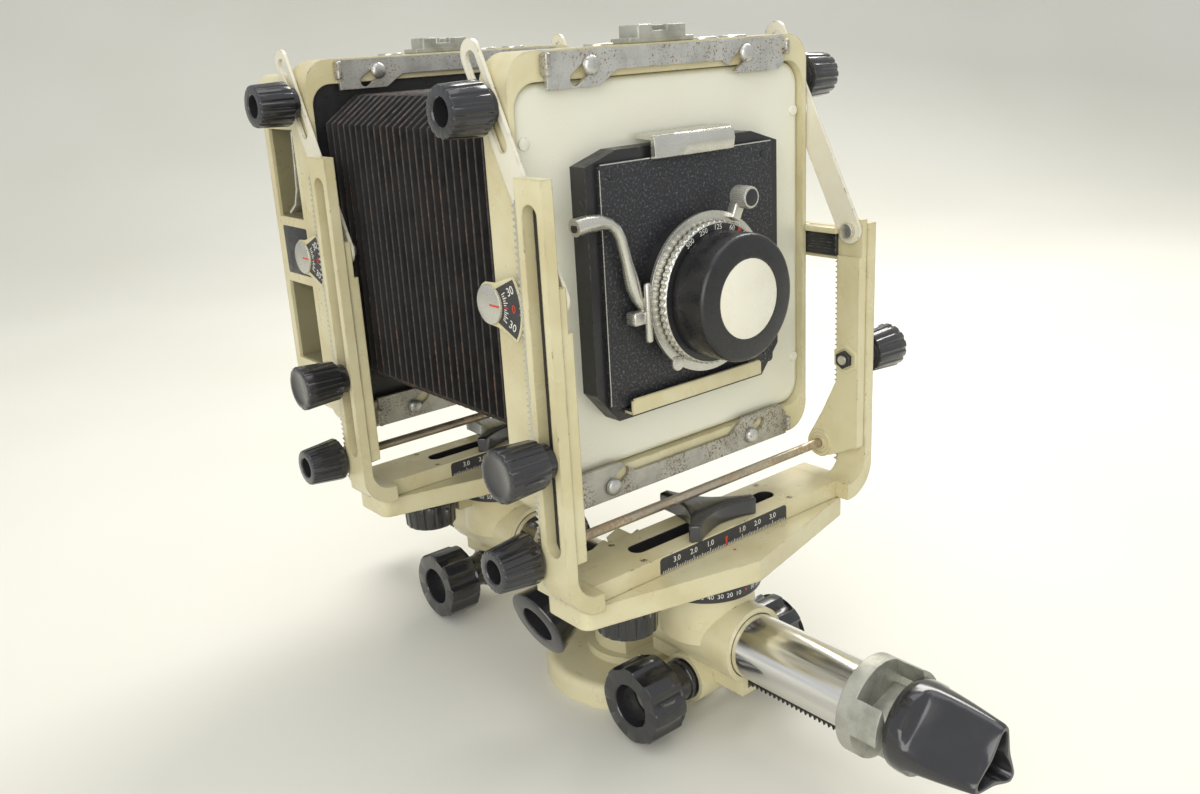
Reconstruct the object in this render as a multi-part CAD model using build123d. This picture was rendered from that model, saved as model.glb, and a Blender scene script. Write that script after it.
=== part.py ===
from build123d import *
import math
import os

# Monorail view camera on a round rail clamp: front standard with lens, rear standard
# with focusing back, bellows between them.
# Frame: millimetres, origin at the centre of the base disc's underside, +Z up,
# the lens looks along -Y and +X is on the right when the camera is seen from the front.

# ---- base and rail -------------------------------------------------------------
BASE_R = 45.0
BASE_T = 12.0
SOCKET_R = 4.75
SOCKET_DEPTH = 10.0
PEDESTAL_R = 20.0
RAIL_Z = 43.25
RAIL_R = 14.7
RAIL_WALL = 2.6
RAIL_GAP = 0.3
RAIL_FRONT = -150.0
RAIL_REAR = 196.0
CLAMP_R = 19.5
CLAMP_HALF = 12.0
EAR_TILT = 20.0
EAR_REACH = 21.3
SLIT = 2.0

# ---- rack and pinion, module 0.8 ------------------------------------------------
MODULE = 0.8
PINION_TEETH = 11
PITCH_R = MODULE * PINION_TEETH / 2
TOOTH_PITCH = math.pi * MODULE
TOOTH_TIP = 0.70
TOOTH_ROOT = 1.05
TOOTH_HALF = 0.42
FLANK = math.tan(math.radians(20))
SHAFT_R = 3.0
RUN_GAP = 0.05

# ---- standards: local frame, y from the shift plate's front face, z from its underside
PLATE_Z = 86.0
FRONT_Y = -66.0
STANDARD_STEP = 162.3
SWING_Y = 13.5
RAIL_DZ = RAIL_Z - PLATE_Z
PINION_Z = -65.5
RACK_PITCH_Z = PINION_Z + PITCH_R
PLATE_HALF = 75.5
PLATE_T = 8.4
PLATE_DEPTH = 27.0
SWING_T = 9.8
SWING_HALF = 81.0
SWING_NOSE = 20.0
PIVOT_R = 8.0
SHIFT_SLOT = 40.0

UPRIGHT_IN = 88.0
UPRIGHT_OUT = 93.0
UPRIGHT_Y0 = -7.0
UPRIGHT_Y1 = 9.0
LEFT_TOP = 172.0
RIGHT_TOP = 131.0
LOCK_Y = 1.0
LOCK_Z = 67.4
LOCK_SLOT_HALF = 4.4

SLIDER_IN = 82.5
SLIDER_OUT = 87.7
SLIDER_TOP = 133.0
ROD_Y = 15.7
ROD_Z = 22.5
ROD_R = 2.2
RISE_PITCH_Y = ROD_Y - PITCH_R
TRUNNION_Y = 37.0
TRUNNION_Z = 121.5
TRUNNION_R = 4.0

FRAME_HALF = 82.0
FRAME_Y0 = 24.5
FRAME_Y1 = 42.0
FRAME_Z0 = 30.0
FRAME_Z1 = 214.0
OPENING_HALF = 66.0
OPENING_Z0 = 50.0
OPENING_Z1 = 196.0
BOARD_HALF = 79.0
BOARD_Z0 = 43.5
BOARD_Z1 = 202.4
BOARD_Y = 27.5
BOARD_T = 3.0
BOARD_CORNER = 10.0

STRUT_Y = 0.0
STRUT_Z = 128.0
STRUT_IN = 82.6
STRUT_OUT = 84.2
STRUT_R = 6.0
KNOB_Y = 34.0
KNOB_Z = 195.0
STRUT_LENGTH = 97.0

LATCH_Y0 = 22.4
LATCH_Y1 = 24.3

LENS_Z = 114.3
ADAPTER_HALF = 54.0
LIP_Y = 11.8
PANEL_HALF = 48.5
PANEL_Y0 = 15.4
PANEL_Y1 = 17.4
PANEL_Z0 = 72.0
PANEL_Z1 = 171.0
CATCH_HALF = 22.0
BARREL_R = 23.6
SHUTTER_R = 29.6
CAP_R = 26.2

BELLOWS_HALF = 72.0
BELLOWS_Z0 = 53.0
BELLOWS_Z1 = 196.0
BACK_DEPTH = 38.0

SWING_KNOB_X = -45.0
SWING_KNOB_Y = 17.0

CLEAR = 0.3


# ---- building blocks -------------------------------------------------------------
def block(x0, x1, y0, y1, z0, z1):
    """A box between two corners, given in either order."""
    size = Box(abs(x1 - x0), abs(y1 - y0), abs(z1 - z0))
    return Pos((x0 + x1) / 2, (y0 + y1) / 2, (z0 + z1) / 2) * size


def rod_x(x0, x1, y, z, r):
    """A round bar along X."""
    bar = Rot(0, 90, 0) * Cylinder(r, abs(x1 - x0))
    return Pos((x0 + x1) / 2, y, z) * bar


def rod_y(y0, y1, x, z, r):
    """A round bar along Y."""
    bar = Rot(90, 0, 0) * Cylinder(r, abs(y1 - y0))
    return Pos(x, (y0 + y1) / 2, z) * bar


def rod_z(z0, z1, x, y, r):
    """A round bar along Z."""
    return Pos(x, y, (z0 + z1) / 2) * Cylinder(r, abs(z1 - z0))


def prism_x(points, x0, x1):
    """An outline of (y, z) points, carried from x0 to x1."""
    low, high = min(x0, x1), max(x0, x1)
    face = make_face(Polyline(*[(low, y, z) for y, z in points], close=True))
    return extrude(face, amount=high - low, dir=(1, 0, 0))


def prism_y(points, y0, y1):
    """An outline of (x, z) points, carried from y0 to y1."""
    face = make_face(Polyline(*[(x, y0, z) for x, z in points], close=True))
    return extrude(face, amount=y1 - y0, dir=(0, 1, 0))


def prism_z(points, z0, z1):
    """An outline of (x, y) points, carried from z0 to z1."""
    face = make_face(Polyline(*[(x, y, z0) for x, y in points], close=True))
    return extrude(face, amount=z1 - z0, dir=(0, 0, 1))


def rounded_y(x0, x1, z0, z1, y0, y1, corner):
    """A slab facing Y with four rounded corners."""
    slab = block(x0, x1, y0, y1, z0, z1)
    return fillet(slab.edges().filter_by(Axis.Y), corner)


def slot_x(x0, x1, y, z0, z1, half):
    """A round-ended slot through X that runs from z0 to z1."""
    middle = block(x0, x1, y - half, y + half, z0 + half, z1 - half)
    return middle + rod_x(x0, x1, y, z0 + half, half) + rod_x(x0, x1, y, z1 - half, half)


def tooth_points(count):
    """The outline of a pinion with straight-sided teeth, one tooth on the +X axis."""
    points = []
    for i in range(count):
        middle = 2 * math.pi * i / count
        for radius, half in (
            (PITCH_R - TOOTH_ROOT, TOOTH_HALF + TOOTH_ROOT * FLANK),
            (PITCH_R + TOOTH_TIP, TOOTH_HALF - TOOTH_TIP * FLANK),
        ):
            points.append((radius, middle - half / radius))
        for radius, half in (
            (PITCH_R + TOOTH_TIP, TOOTH_HALF - TOOTH_TIP * FLANK),
            (PITCH_R - TOOTH_ROOT, TOOTH_HALF + TOOTH_ROOT * FLANK),
        ):
            points.append((radius, middle + half / radius))
    return [(r * math.cos(a), r * math.sin(a)) for r, a in points]


def pinion_x(x0, x1, y, z, first_tooth):
    """A pinion on an X shaft, its first tooth at an angle from +Y towards +Z."""
    turn = math.radians(first_tooth)
    points = []
    for a, b in tooth_points(PINION_TEETH):
        points.append(
            (
                y + a * math.cos(turn) - b * math.sin(turn),
                z + a * math.sin(turn) + b * math.cos(turn),
            )
        )
    return prism_x(points, x0, x1)


def rack_points(start, end, gap_at, base):
    """(along, out) points of a rack whose pitch line is at out = 0, with a gap at gap_at."""
    tip = TOOTH_HALF - TOOTH_TIP * FLANK
    root = TOOTH_HALF + TOOTH_ROOT * FLANK
    points = [(start, -base)]
    first = math.ceil((start + root - gap_at) / TOOTH_PITCH - 0.5)
    last = math.floor((end - root - gap_at) / TOOTH_PITCH - 0.5)
    points.append((start, -TOOTH_ROOT))
    for i in range(first, last + 1):
        middle = gap_at + (i + 0.5) * TOOTH_PITCH
        points += [
            (middle - root, -TOOTH_ROOT),
            (middle - tip, TOOTH_TIP),
            (middle + tip, TOOTH_TIP),
            (middle + root, -TOOTH_ROOT),
        ]
    points += [(end, -TOOTH_ROOT), (end, -base)]
    return points


def lobed_knob(radius, thickness, lobes, scallop_r, scallop_depth, hole_r, hole_depth):
    """A moulded knob from z = 0 to its hollow outer face at z = thickness."""
    knob = rod_z(0, thickness, 0, 0, radius)
    knob = fillet(knob.edges().filter_by(GeomType.CIRCLE), 1.2)
    centre = radius + scallop_r - scallop_depth
    for i in range(lobes):
        a = 2 * math.pi * (i + 0.5) / lobes
        knob -= rod_z(-1, thickness + 1, centre * math.cos(a), centre * math.sin(a), scallop_r)
    return knob - rod_z(thickness - hole_depth, thickness + 1, 0, 0, hole_r)


def fluted_knob(inner_r, outer_r, length, flutes, hole_r, hole_depth):
    """A tapered knob from z = 0 to its outer face at z = length."""
    knob = Pos(0, 0, length / 2) * Cone(inner_r, outer_r, length)
    cutter = 1.6
    slope = math.degrees(math.atan2(inner_r - outer_r, length))
    middle = (inner_r + outer_r) / 2 + cutter * 0.62
    for i in range(flutes):
        groove = Pos(middle, 0, length / 2) * Rot(0, -slope, 0) * Cylinder(cutter, length * 1.3)
        knob -= Rot(0, 0, 360 * i / flutes) * groove
    if hole_depth:
        knob -= rod_z(length - hole_depth, length + 1, 0, 0, hole_r)
    return knob


def facing(side, x, y, z, knob):
    """Turns a knob that points along +Z so that it points away from the camera's middle."""
    return Pos(side * x, y, z) * Rot(0, 90 * side, 0) * knob


# ---- one standard, in its local frame ----------------------------------------------
def carriage():
    """Casting that rides on the rail and carries the pinion shaft and the swing pivot."""
    saddle_r = 17.5
    front, rear = SWING_Y - 29.5, SWING_Y + 29.5
    body = rod_y(front, rear, 0, RAIL_DZ, saddle_r)
    body += rod_z(RAIL_DZ, -20, 0, SWING_Y, 22)
    body += rod_x(-15.6, 15.6, SWING_Y, PINION_Z, 11.8)
    body += block(-8, 8, front, rear, RACK_PITCH_Z - 4.4, RAIL_DZ - 8)
    lug_top = -11.2
    body += block(-30.4, -25.6, SWING_KNOB_Y - 6, SWING_KNOB_Y + 6, -25, lug_top)
    body += block(-28, -15, SWING_KNOB_Y - 6, SWING_KNOB_Y + 6, -25, -20.4)
    body += block(SWING_KNOB_X, -26, SWING_KNOB_Y - 6, SWING_KNOB_Y + 6, lug_top - 3.8, lug_top)
    body += rod_z(lug_top - 3.8, lug_top, SWING_KNOB_X, SWING_KNOB_Y, 6)
    body -= rod_y(front - 1, rear + 1, 0, RAIL_DZ, RAIL_R + RAIL_GAP)
    body -= block(-4.2, 4.2, front - 1, rear + 1, RACK_PITCH_Z - 1.6, RAIL_DZ)
    body -= rod_x(-5.6, 5.6, SWING_Y, PINION_Z, 5.9)
    body -= rod_x(-16, 16, SWING_Y, PINION_Z, SHAFT_R + RUN_GAP)
    for side in (-1, 1):
        body -= rod_x(side * 13.4, side * 16, SWING_Y, PINION_Z, 9.6)
    body -= rod_z(-27, -19, 0, SWING_Y, PIVOT_R + RUN_GAP)
    return body - rod_z(-17, -11, SWING_KNOB_X, SWING_KNOB_Y, 2.5 + RUN_GAP)


def focus_pinion(rolled):
    """Steel shaft with the pinion that has rolled this far along the rail's rack."""
    shaft = rod_x(-30, 30, SWING_Y, PINION_Z, SHAFT_R)
    return shaft + pinion_x(-4, 4, SWING_Y, PINION_Z, 90 + math.degrees(rolled / PITCH_R))


def focus_knobs():
    """The two lobed focusing knobs, pinned to the ends of the pinion shaft."""
    knobs = []
    for side in (-1, 1):
        knob = Pos(0, 0, 31) * lobed_knob(18.2, 18, 8, 7.5, 1.7, 9.8, 12)
        knob += rod_z(14, 32, 0, 0, 8.7)
        knob -= rod_z(13, 30.1, 0, 0, SHAFT_R)
        knobs.append(Pos(0, SWING_Y, PINION_Z) * Rot(0, 90 * side, 0) * knob)
    return Compound(children=knobs)


def swing_ring():
    """Degree ring on top of the carriage."""
    return rod_z(-20, -10.4, 0, SWING_Y, 25) - rod_z(-21, -9, 0, SWING_Y, PIVOT_R + CLEAR)


def swing_knob():
    """Fluted knob under the swing plate that locks the swing."""
    place = Pos(SWING_KNOB_X, SWING_KNOB_Y, -15.6) * Rot(180, 0, 0)
    knob = place * fluted_knob(14.0, 13.6, 13, 16, 0, 0)
    return knob + rod_z(-17, -11.6, SWING_KNOB_X, SWING_KNOB_Y, 2.5)


def swing_plate():
    """V-nosed plate that turns on the carriage and guides the shift plate."""
    outline = [
        (-SWING_HALF, 0),
        (0, -SWING_NOSE),
        (SWING_HALF, 0),
        (SWING_HALF, PLATE_DEPTH),
        (-SWING_HALF, PLATE_DEPTH),
    ]
    top = -0.2
    plate = prism_z(outline, top - SWING_T, top)
    plate = fillet(plate.edges().filter_by(Axis.Z), 5)
    plate += rod_z(-26, -9, 0, SWING_Y, PIVOT_R)
    return plate + rod_z(-1, PLATE_T + 7, 0, SWING_Y, 3)


def shift_plate():
    """Slotted plate that carries both uprights and slides across the swing plate."""
    plate = block(-PLATE_HALF, PLATE_HALF, 0, PLATE_DEPTH, 0, PLATE_T)
    half = 4.2
    plate -= block(-SHIFT_SLOT, SHIFT_SLOT, SWING_Y - half, SWING_Y + half, -1, PLATE_T + 1)
    for side in (-1, 1):
        plate -= rod_z(-1, PLATE_T + 1, side * SHIFT_SLOT, SWING_Y, half)
        for y in (3.2, 24.2):
            plate -= rod_z(PLATE_T - 2, PLATE_T + 1, side * 45.5, y, 1.5)
    return plate


def shift_lever():
    """Lever with three wings, narrow at their tips, that clamps the shift plate."""
    low, high = PLATE_T + 0.6, PLATE_T + 8
    lever = rod_z(low, high, 0, SWING_Y, 9)
    for a in (-24, 96, 216):
        wing = prism_z([(0, -7.5), (14, -3.6), (24, -2.6), (24, 2.6), (14, 3.6), (0, 7.5)], low, high)
        lever += Pos(0, SWING_Y, 0) * Rot(0, 0, a) * wing
    return lever - rod_z(0, PLATE_T + 7.2, 0, SWING_Y, 3 + RUN_GAP)


def upright(side, top):
    """Slotted upright with its rounded foot, bolted to the end of the shift plate."""
    foot = 8.4
    outline = [
        (PLATE_HALF, 0.3),
        (UPRIGHT_OUT, 0.3),
        (UPRIGHT_OUT, top),
        (UPRIGHT_IN, top),
        (UPRIGHT_IN, foot),
        (PLATE_HALF, foot),
    ]
    bar = prism_y([(x, z) for x, z in outline], UPRIGHT_Y0, UPRIGHT_Y1)
    for x, z, radius in ((UPRIGHT_OUT, 0, 16), (UPRIGHT_IN, foot, 10)):
        corner = bar.edges().filter_by(Axis.Y).sort_by_distance((x, UPRIGHT_Y0, z))[0]
        bar = fillet(corner, radius)
    bar += block(PLATE_HALF, 84, UPRIGHT_Y1 - 1, PLATE_DEPTH, 0.3, foot)
    bar -= slot_x(UPRIGHT_IN - 1, UPRIGHT_OUT + 1, LOCK_Y, 27, top - 9, LOCK_SLOT_HALF)
    if side < 0:
        bar = mirror(bar, about=Plane.YZ)
    return bar


def rise_racks():
    """Racks on the rear edges of both uprights."""
    racks = []
    for side, top in ((-1, LEFT_TOP - 8), (1, RIGHT_TOP - 8)):
        base = RISE_PITCH_Y - UPRIGHT_Y1
        outline = rack_points(12, top, ROD_Z, base)
        points = [(RISE_PITCH_Y + out, along) for along, out in outline]
        racks.append(prism_x(points, side * (UPRIGHT_IN + 0.3), side * (UPRIGHT_OUT - 0.4)))
    return Compound(children=racks)


def slider(side):
    """Inner casting that climbs the upright and carries the frame's trunnion."""
    profile = [
        (-6.2, 24.5),
        (-6.2, SLIDER_TOP),
        (6.4, SLIDER_TOP),
        (6.4, 103),
        (6.2, 56),
        (14.6, 38.7),
        (22.5, 25),
        (ROD_Y, 15),
        (8, 18),
    ]
    body = prism_x(profile, SLIDER_IN, SLIDER_OUT)
    body += rod_x(SLIDER_IN, SLIDER_OUT, ROD_Y, ROD_Z, 7.2)
    arm = [(0, 113.7), (0, 129), (38, 129), (44, 124), (44, 118), (38, 113.7)]
    body += prism_x(arm, STRUT_OUT + CLEAR, SLIDER_OUT)
    body -= block(0, STRUT_OUT + CLEAR, -20, 60, 116, SLIDER_TOP + 1)
    body += rod_x(STRUT_IN - 0.8, SLIDER_OUT, STRUT_Y, STRUT_Z, 2.0)
    body += rod_x(STRUT_IN - 1.4, STRUT_IN - 0.3, STRUT_Y, STRUT_Z, 3.4)
    body += rod_x(72, SLIDER_OUT, TRUNNION_Y, TRUNNION_Z, TRUNNION_R)
    body -= rod_x(SLIDER_IN - 1, SLIDER_OUT + 1, ROD_Y, ROD_Z, ROD_R + RUN_GAP)
    body -= rod_x(SLIDER_IN - 1, SLIDER_OUT + 1, LOCK_Y, LOCK_Z, 2.2 + RUN_GAP)
    if side < 0:
        body += rod_x(SLIDER_OUT, SLIDER_OUT + 1.6, TRUNNION_Y, TRUNNION_Z, 8)
        body = mirror(body, about=Plane.YZ)
    return body


def rise_rod():
    """Cross rod with a pinion at each end, meshed with both racks."""
    rod = rod_x(-99, UPRIGHT_OUT + 0.4, ROD_Y, ROD_Z, ROD_R)
    for side in (-1, 1):
        rod += pinion_x(side * (SLIDER_OUT + 0.6), side * (UPRIGHT_OUT - 0.4), ROD_Y, ROD_Z, 180)
    return rod


def rise_knob():
    """Hollow fluted knob on the left end of the cross rod."""
    knob = facing(-1, 94.2, ROD_Y, ROD_Z, fluted_knob(10.6, 8.9, 18, 20, 4.9, 11))
    return knob - rod_x(-99, -90, ROD_Y, ROD_Z, ROD_R)


def slider_knobs():
    """Knobs whose studs pass through the uprights' slots and lock the rise."""
    knobs = []
    for side in (-1, 1):
        knob = facing(side, 97.5, LOCK_Y, LOCK_Z, fluted_knob(9.6, 10.6, 18.5, 14, 0, 0))
        knob += rod_x(side * 93.4, side * 98, LOCK_Y, LOCK_Z, 7)
        knob += rod_x(side * (SLIDER_IN - 3), side * 98, LOCK_Y, LOCK_Z, 2.2)
        knob += rod_x(side * (SLIDER_IN - 3.2), side * (SLIDER_IN - 0.4), LOCK_Y, LOCK_Z, 4.4)
        knobs.append(knob)
    return Compound(children=knobs)


def frame():
    """Square frame that tilts on the trunnions and holds a board in its front recess."""
    body = rounded_y(-FRAME_HALF, FRAME_HALF, FRAME_Z0, FRAME_Z1, FRAME_Y0, FRAME_Y1, 12)
    body -= block(-OPENING_HALF, OPENING_HALF, 0, 60, OPENING_Z0, OPENING_Z1)
    room = 0.4
    body -= rounded_y(
        -BOARD_HALF - room,
        BOARD_HALF + room,
        BOARD_Z0 - room,
        BOARD_Z1 + room,
        FRAME_Y0 - 1,
        BOARD_Y + BOARD_T,
        BOARD_CORNER,
    )
    for side in (-1, 1):
        body -= rod_x(
            side * 71.5, side * (FRAME_HALF + 1), TRUNNION_Y, TRUNNION_Z, TRUNNION_R + RUN_GAP
        )
        body -= rod_x(side * 74, side * (FRAME_HALF + 1), KNOB_Y, KNOB_Z, 1.25 + RUN_GAP)
    body += block(-17, 16, 31, 39, FRAME_Z1 - 0.5, FRAME_Z1 + 2)
    for x, z in LATCH_BOLTS:
        body += rod_y(LATCH_Y0 - 1.6, FRAME_Y0 + 1, x, z, 2.2)
        body += rod_y(LATCH_Y0 - 1.6, LATCH_Y0 - 0.3, x, z, 3.4)
    return body


LATCH_TRAVEL = (7.0, 4.5)
LATCH_BOLTS = ((-44.6, 207.4), (40.2, 207.4), (-44.6, 36.0), (40.2, 36.0))


def latch(top):
    """Sliding latch with hooked ends that hold the board."""
    if top:
        outline = [
            (-65, 199.6),
            (-40, 199.6),
            (-31, 205.2),
            (27, 205.2),
            (36, 199.6),
            (61, 199.6),
            (65, 203),
            (65, 213.3),
            (-65, 213.3),
        ]
        step = (-LATCH_TRAVEL[0], -LATCH_TRAVEL[1])
        bolts = LATCH_BOLTS[:2]
    else:
        outline = [
            (-65, 30.4),
            (65, 30.4),
            (65, 41),
            (61, 45.6),
            (36, 45.6),
            (27, 39.4),
            (-31, 39.4),
            (-40, 45.6),
            (-65, 45.6),
        ]
        step = (LATCH_TRAVEL[0], LATCH_TRAVEL[1])
        bolts = LATCH_BOLTS[2:]
    plate = prism_y(outline, LATCH_Y0, LATCH_Y1)
    half = 2.6
    length = math.hypot(*step)
    angle = math.degrees(math.atan2(step[1], step[0]))
    for x, z in bolts:
        hole = rod_y(LATCH_Y0 - 1, LATCH_Y1 + 1, x, z, half)
        hole += rod_y(LATCH_Y0 - 1, LATCH_Y1 + 1, x + step[0], z + step[1], half)
        run = Pos(length / 2, 0, 0) * Box(length, 6, 2 * half)
        hole += Pos(x, (LATCH_Y0 + LATCH_Y1) / 2, z) * Rot(0, -angle, 0) * run
        plate -= hole
    return plate


def tilt_struts():
    """Slotted struts from the sliders to the tilt knobs."""
    reach = math.hypot(KNOB_Y - STRUT_Y, KNOB_Z - STRUT_Z)
    lean = math.degrees(math.atan2(KNOB_Z - STRUT_Z, KNOB_Y - STRUT_Y))
    slot_start, slot_end = reach - 15, STRUT_LENGTH - 2.5
    struts = []
    for side in (-1, 1):
        x0, x1 = STRUT_IN, STRUT_OUT
        bar = block(x0, x1, 0, STRUT_LENGTH - 1, -STRUT_R, STRUT_R)
        bar += rod_x(x0, x1, 0, 0, STRUT_R)
        bar += rod_x(x0, x1, STRUT_LENGTH - 1, 0, STRUT_R)
        half = 3.0
        bar -= block(x0 - 1, x1 + 1, slot_start, slot_end, -half, half)
        bar -= rod_x(x0 - 1, x1 + 1, slot_start, 0, half)
        bar -= rod_x(x0 - 1, x1 + 1, slot_end, 0, half)
        bar -= rod_x(x0 - 1, x1 + 1, 0, 0, 2.0 + RUN_GAP)
        bar = Pos(0, STRUT_Y, STRUT_Z) * Rot(lean, 0, 0) * bar
        struts.append(mirror(bar, about=Plane.YZ) if side < 0 else bar)
    return Compound(children=struts)


def tilt_knobs():
    """Hollow fluted knobs that clamp the frame to the slotted struts."""
    knobs = []
    for side in (-1, 1):
        knob = facing(side, 88.0, KNOB_Y, KNOB_Z, fluted_knob(10.4, 9.8, 17, 16, 5.2, 10))
        knob += rod_x(side * (STRUT_OUT + CLEAR), side * 88.5, KNOB_Y, KNOB_Z, 7)
        knob += rod_x(side * 76, side * 86, KNOB_Y, KNOB_Z, 1.25)
        knobs.append(knob)
    return Compound(children=knobs)


def standard(rolled):
    """All parts of one standard, by name, in its local frame."""
    return {
        "carriage": carriage(),
        "focus_pinion": focus_pinion(rolled),
        "focus_knobs": focus_knobs(),
        "swing_ring": swing_ring(),
        "swing_knob": swing_knob(),
        "swing_plate": swing_plate(),
        "shift_plate": shift_plate(),
        "shift_lever": shift_lever(),
        "upright_left": upright(-1, LEFT_TOP),
        "upright_right": upright(1, RIGHT_TOP),
        "rise_racks": rise_racks(),
        "slider_left": slider(-1),
        "slider_right": slider(1),
        "rise_rod": rise_rod(),
        "rise_knob": rise_knob(),
        "slider_knobs": slider_knobs(),
        "frame": frame(),
        "tilt_struts": tilt_struts(),
        "tilt_knobs": tilt_knobs(),
        "latch_top": latch(True),
        "latch_bottom": latch(False),
    }


# ---- lens, in the front standard's local frame ---------------------------------------
def lens_board():
    """Square board in the front frame, open behind the adapter."""
    board = rounded_y(
        -BOARD_HALF, BOARD_HALF, BOARD_Z0, BOARD_Z1, BOARD_Y, BOARD_Y + BOARD_T, BOARD_CORNER
    )
    return board - block(-44, 44, 20, 40, 76, 166)


def board_adapter():
    """Box-shaped adapter that carries the small lens panel."""
    outline = [
        (-43, 66),
        (43, 66),
        (ADAPTER_HALF, 79),
        (ADAPTER_HALF, 170.5),
        (38, 175.6),
        (-38, 175.6),
        (-ADAPTER_HALF, 170.5),
        (-ADAPTER_HALF, 79),
    ]
    body = prism_y(outline, PANEL_Y1, BOARD_Y)
    body -= block(-PANEL_HALF + 4.5, PANEL_HALF - 4.5, 0, 30, 76.5, 166.5)
    body += block(-40, 36, LIP_Y, PANEL_Y1, 69.4, 71.4)
    return body + block(-40, 36, LIP_Y, LIP_Y + 1.6, 69.4, 75.4)


def lens_panel():
    """Small square panel that the shutter is screwed into."""
    panel = rounded_y(-PANEL_HALF, PANEL_HALF, PANEL_Z0, PANEL_Z1, PANEL_Y0, PANEL_Y1, 2)
    return panel - rod_y(10, 20, 0, LENS_Z, 18.2)


def adapter_latch():
    """Sliding catch over the panel's top edge."""
    catch = block(-CATCH_HALF, CATCH_HALF, 12.6, 15.0, 170.4, 180)
    return catch + block(-CATCH_HALF, CATCH_HALF, 12.6, 24, 176.2, 180)


def shutter():
    """Leaf shutter with its barrel and the cable socket, seen as two solids."""
    body = rod_y(5.6, PANEL_Y0, 0, LENS_Z, SHUTTER_R)
    body += rod_y(-8, 5.7, 0, LENS_Z, BARREL_R)
    body += rod_y(PANEL_Y0 - 0.1, 36, 0, LENS_Z, 18.0)
    body -= rod_y(-9, -2, 0, LENS_Z, 19)
    arm_y = 10.4
    route = ((-29, 111), (-37, 119), (-43, 143), (-66, 150))
    path = FilletPolyline(*[(x, arm_y, z) for x, z in route], radius=6)
    socket = sweep(path.location_at(0) * Circle(2.4), path=path)
    socket += Pos(-66, arm_y, 150) * Sphere(3.2)
    return Compound(children=[body, socket - rod_y(0, 30, 0, LENS_Z, SHUTTER_R + CLEAR)])


def speed_ring():
    """Knurled speed ring around the front of the shutter."""
    ring = rod_y(1.6, 5.3, 0, LENS_Z, SHUTTER_R)
    return ring - rod_y(0, 6, 0, LENS_Z, BARREL_R + CLEAR)


def cocking_lever():
    """Lever with a round button that arms the shutter."""
    arm = Pos(0, 0, LENS_Z) * Rot(0, -65, 0) * block(30.2, 41, 2.2, 4.0, -2.5, 2.5)
    a = math.radians(65)
    arm += rod_y(-3, 4.0, 41 * math.cos(a), LENS_Z + 41 * math.sin(a), 4.2)
    hoop = rod_y(5.9, 7.4, 0, LENS_Z, 32.0) - rod_y(5, 8, 0, LENS_Z, SHUTTER_R + CLEAR)
    return hoop + arm + Pos(0, 0, LENS_Z) * Rot(0, -65, 0) * block(30.2, 32, 2.2, 7.4, -2.5, 2.5)


def lens_cap():
    """Push-on cap over the front of the lens."""
    return rod_y(-16, 1.2, 0, LENS_Z, CAP_R) - rod_y(-13.4, 2, 0, LENS_Z, BARREL_R + CLEAR)


# ---- bellows and back, in the frame of the whole camera --------------------------------
def bellows():
    """Plain hollow stand-in for the folded bellows."""
    front = FRONT_Y + FRAME_Y1
    rear = FRONT_Y + STANDARD_STEP + BOARD_Y
    low, high = PLATE_Z + BELLOWS_Z0, PLATE_Z + BELLOWS_Z1
    tube = block(-BELLOWS_HALF, BELLOWS_HALF, front, rear, low, high)
    wall = 6
    return tube - block(
        -BELLOWS_HALF + wall, BELLOWS_HALF - wall, front - 1, rear + 1, low + wall, high - wall
    )


def bellows_board():
    """Black board that ends the bellows in the rear frame's recess, in the rear local frame."""
    board = rounded_y(
        -BOARD_HALF, BOARD_HALF, BOARD_Z0, BOARD_Z1, BOARD_Y, BOARD_Y + BOARD_T, BOARD_CORNER
    )
    return board - block(-62, 62, 20, 40, 60, 186)


def back_frame():
    """Sprung focusing back behind the rear frame, in the rear local frame."""
    half, rear = 81.0, FRAME_Y1 + BACK_DEPTH
    body = rounded_y(-half, half, 36, 208, FRAME_Y1, rear, 6)
    body -= block(-63, 63, 30, 90, 71, 173)
    for side in (-1, 1):
        for low, high in ((62, 104), (138, 182)):
            body -= block(side * (half - 13), side * (half + 1), FRAME_Y1 + 6, rear - 5, low, high)
    return body


def ground_glass():
    """Ground glass in its own hinged holder, in the rear local frame."""
    rear = FRAME_Y1 + BACK_DEPTH
    holder = block(-62.5, 62.5, rear - 8, rear - 1, 71.5, 172.5)
    return holder - block(-58, 58, rear - 5, rear, 76, 168)


# ---- base, clamp and rail ----------------------------------------------------------------
def base_disc():
    """Round foot with a tripod socket in its underside."""
    disc = rod_z(0, BASE_T, 0, 0, BASE_R)
    disc = fillet(disc.edges().filter_by(GeomType.CIRCLE).sort_by(Axis.Z)[-1], 4)
    return disc - rod_z(-1, SOCKET_DEPTH, 0, 0, SOCKET_R)


def ear_frame():
    """Tilted frame on the clamp's slit: local X runs along the screw, local Z away from the rail."""
    return Pos(0, 0, RAIL_Z) * Rot(0, -EAR_TILT, 0)


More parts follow.
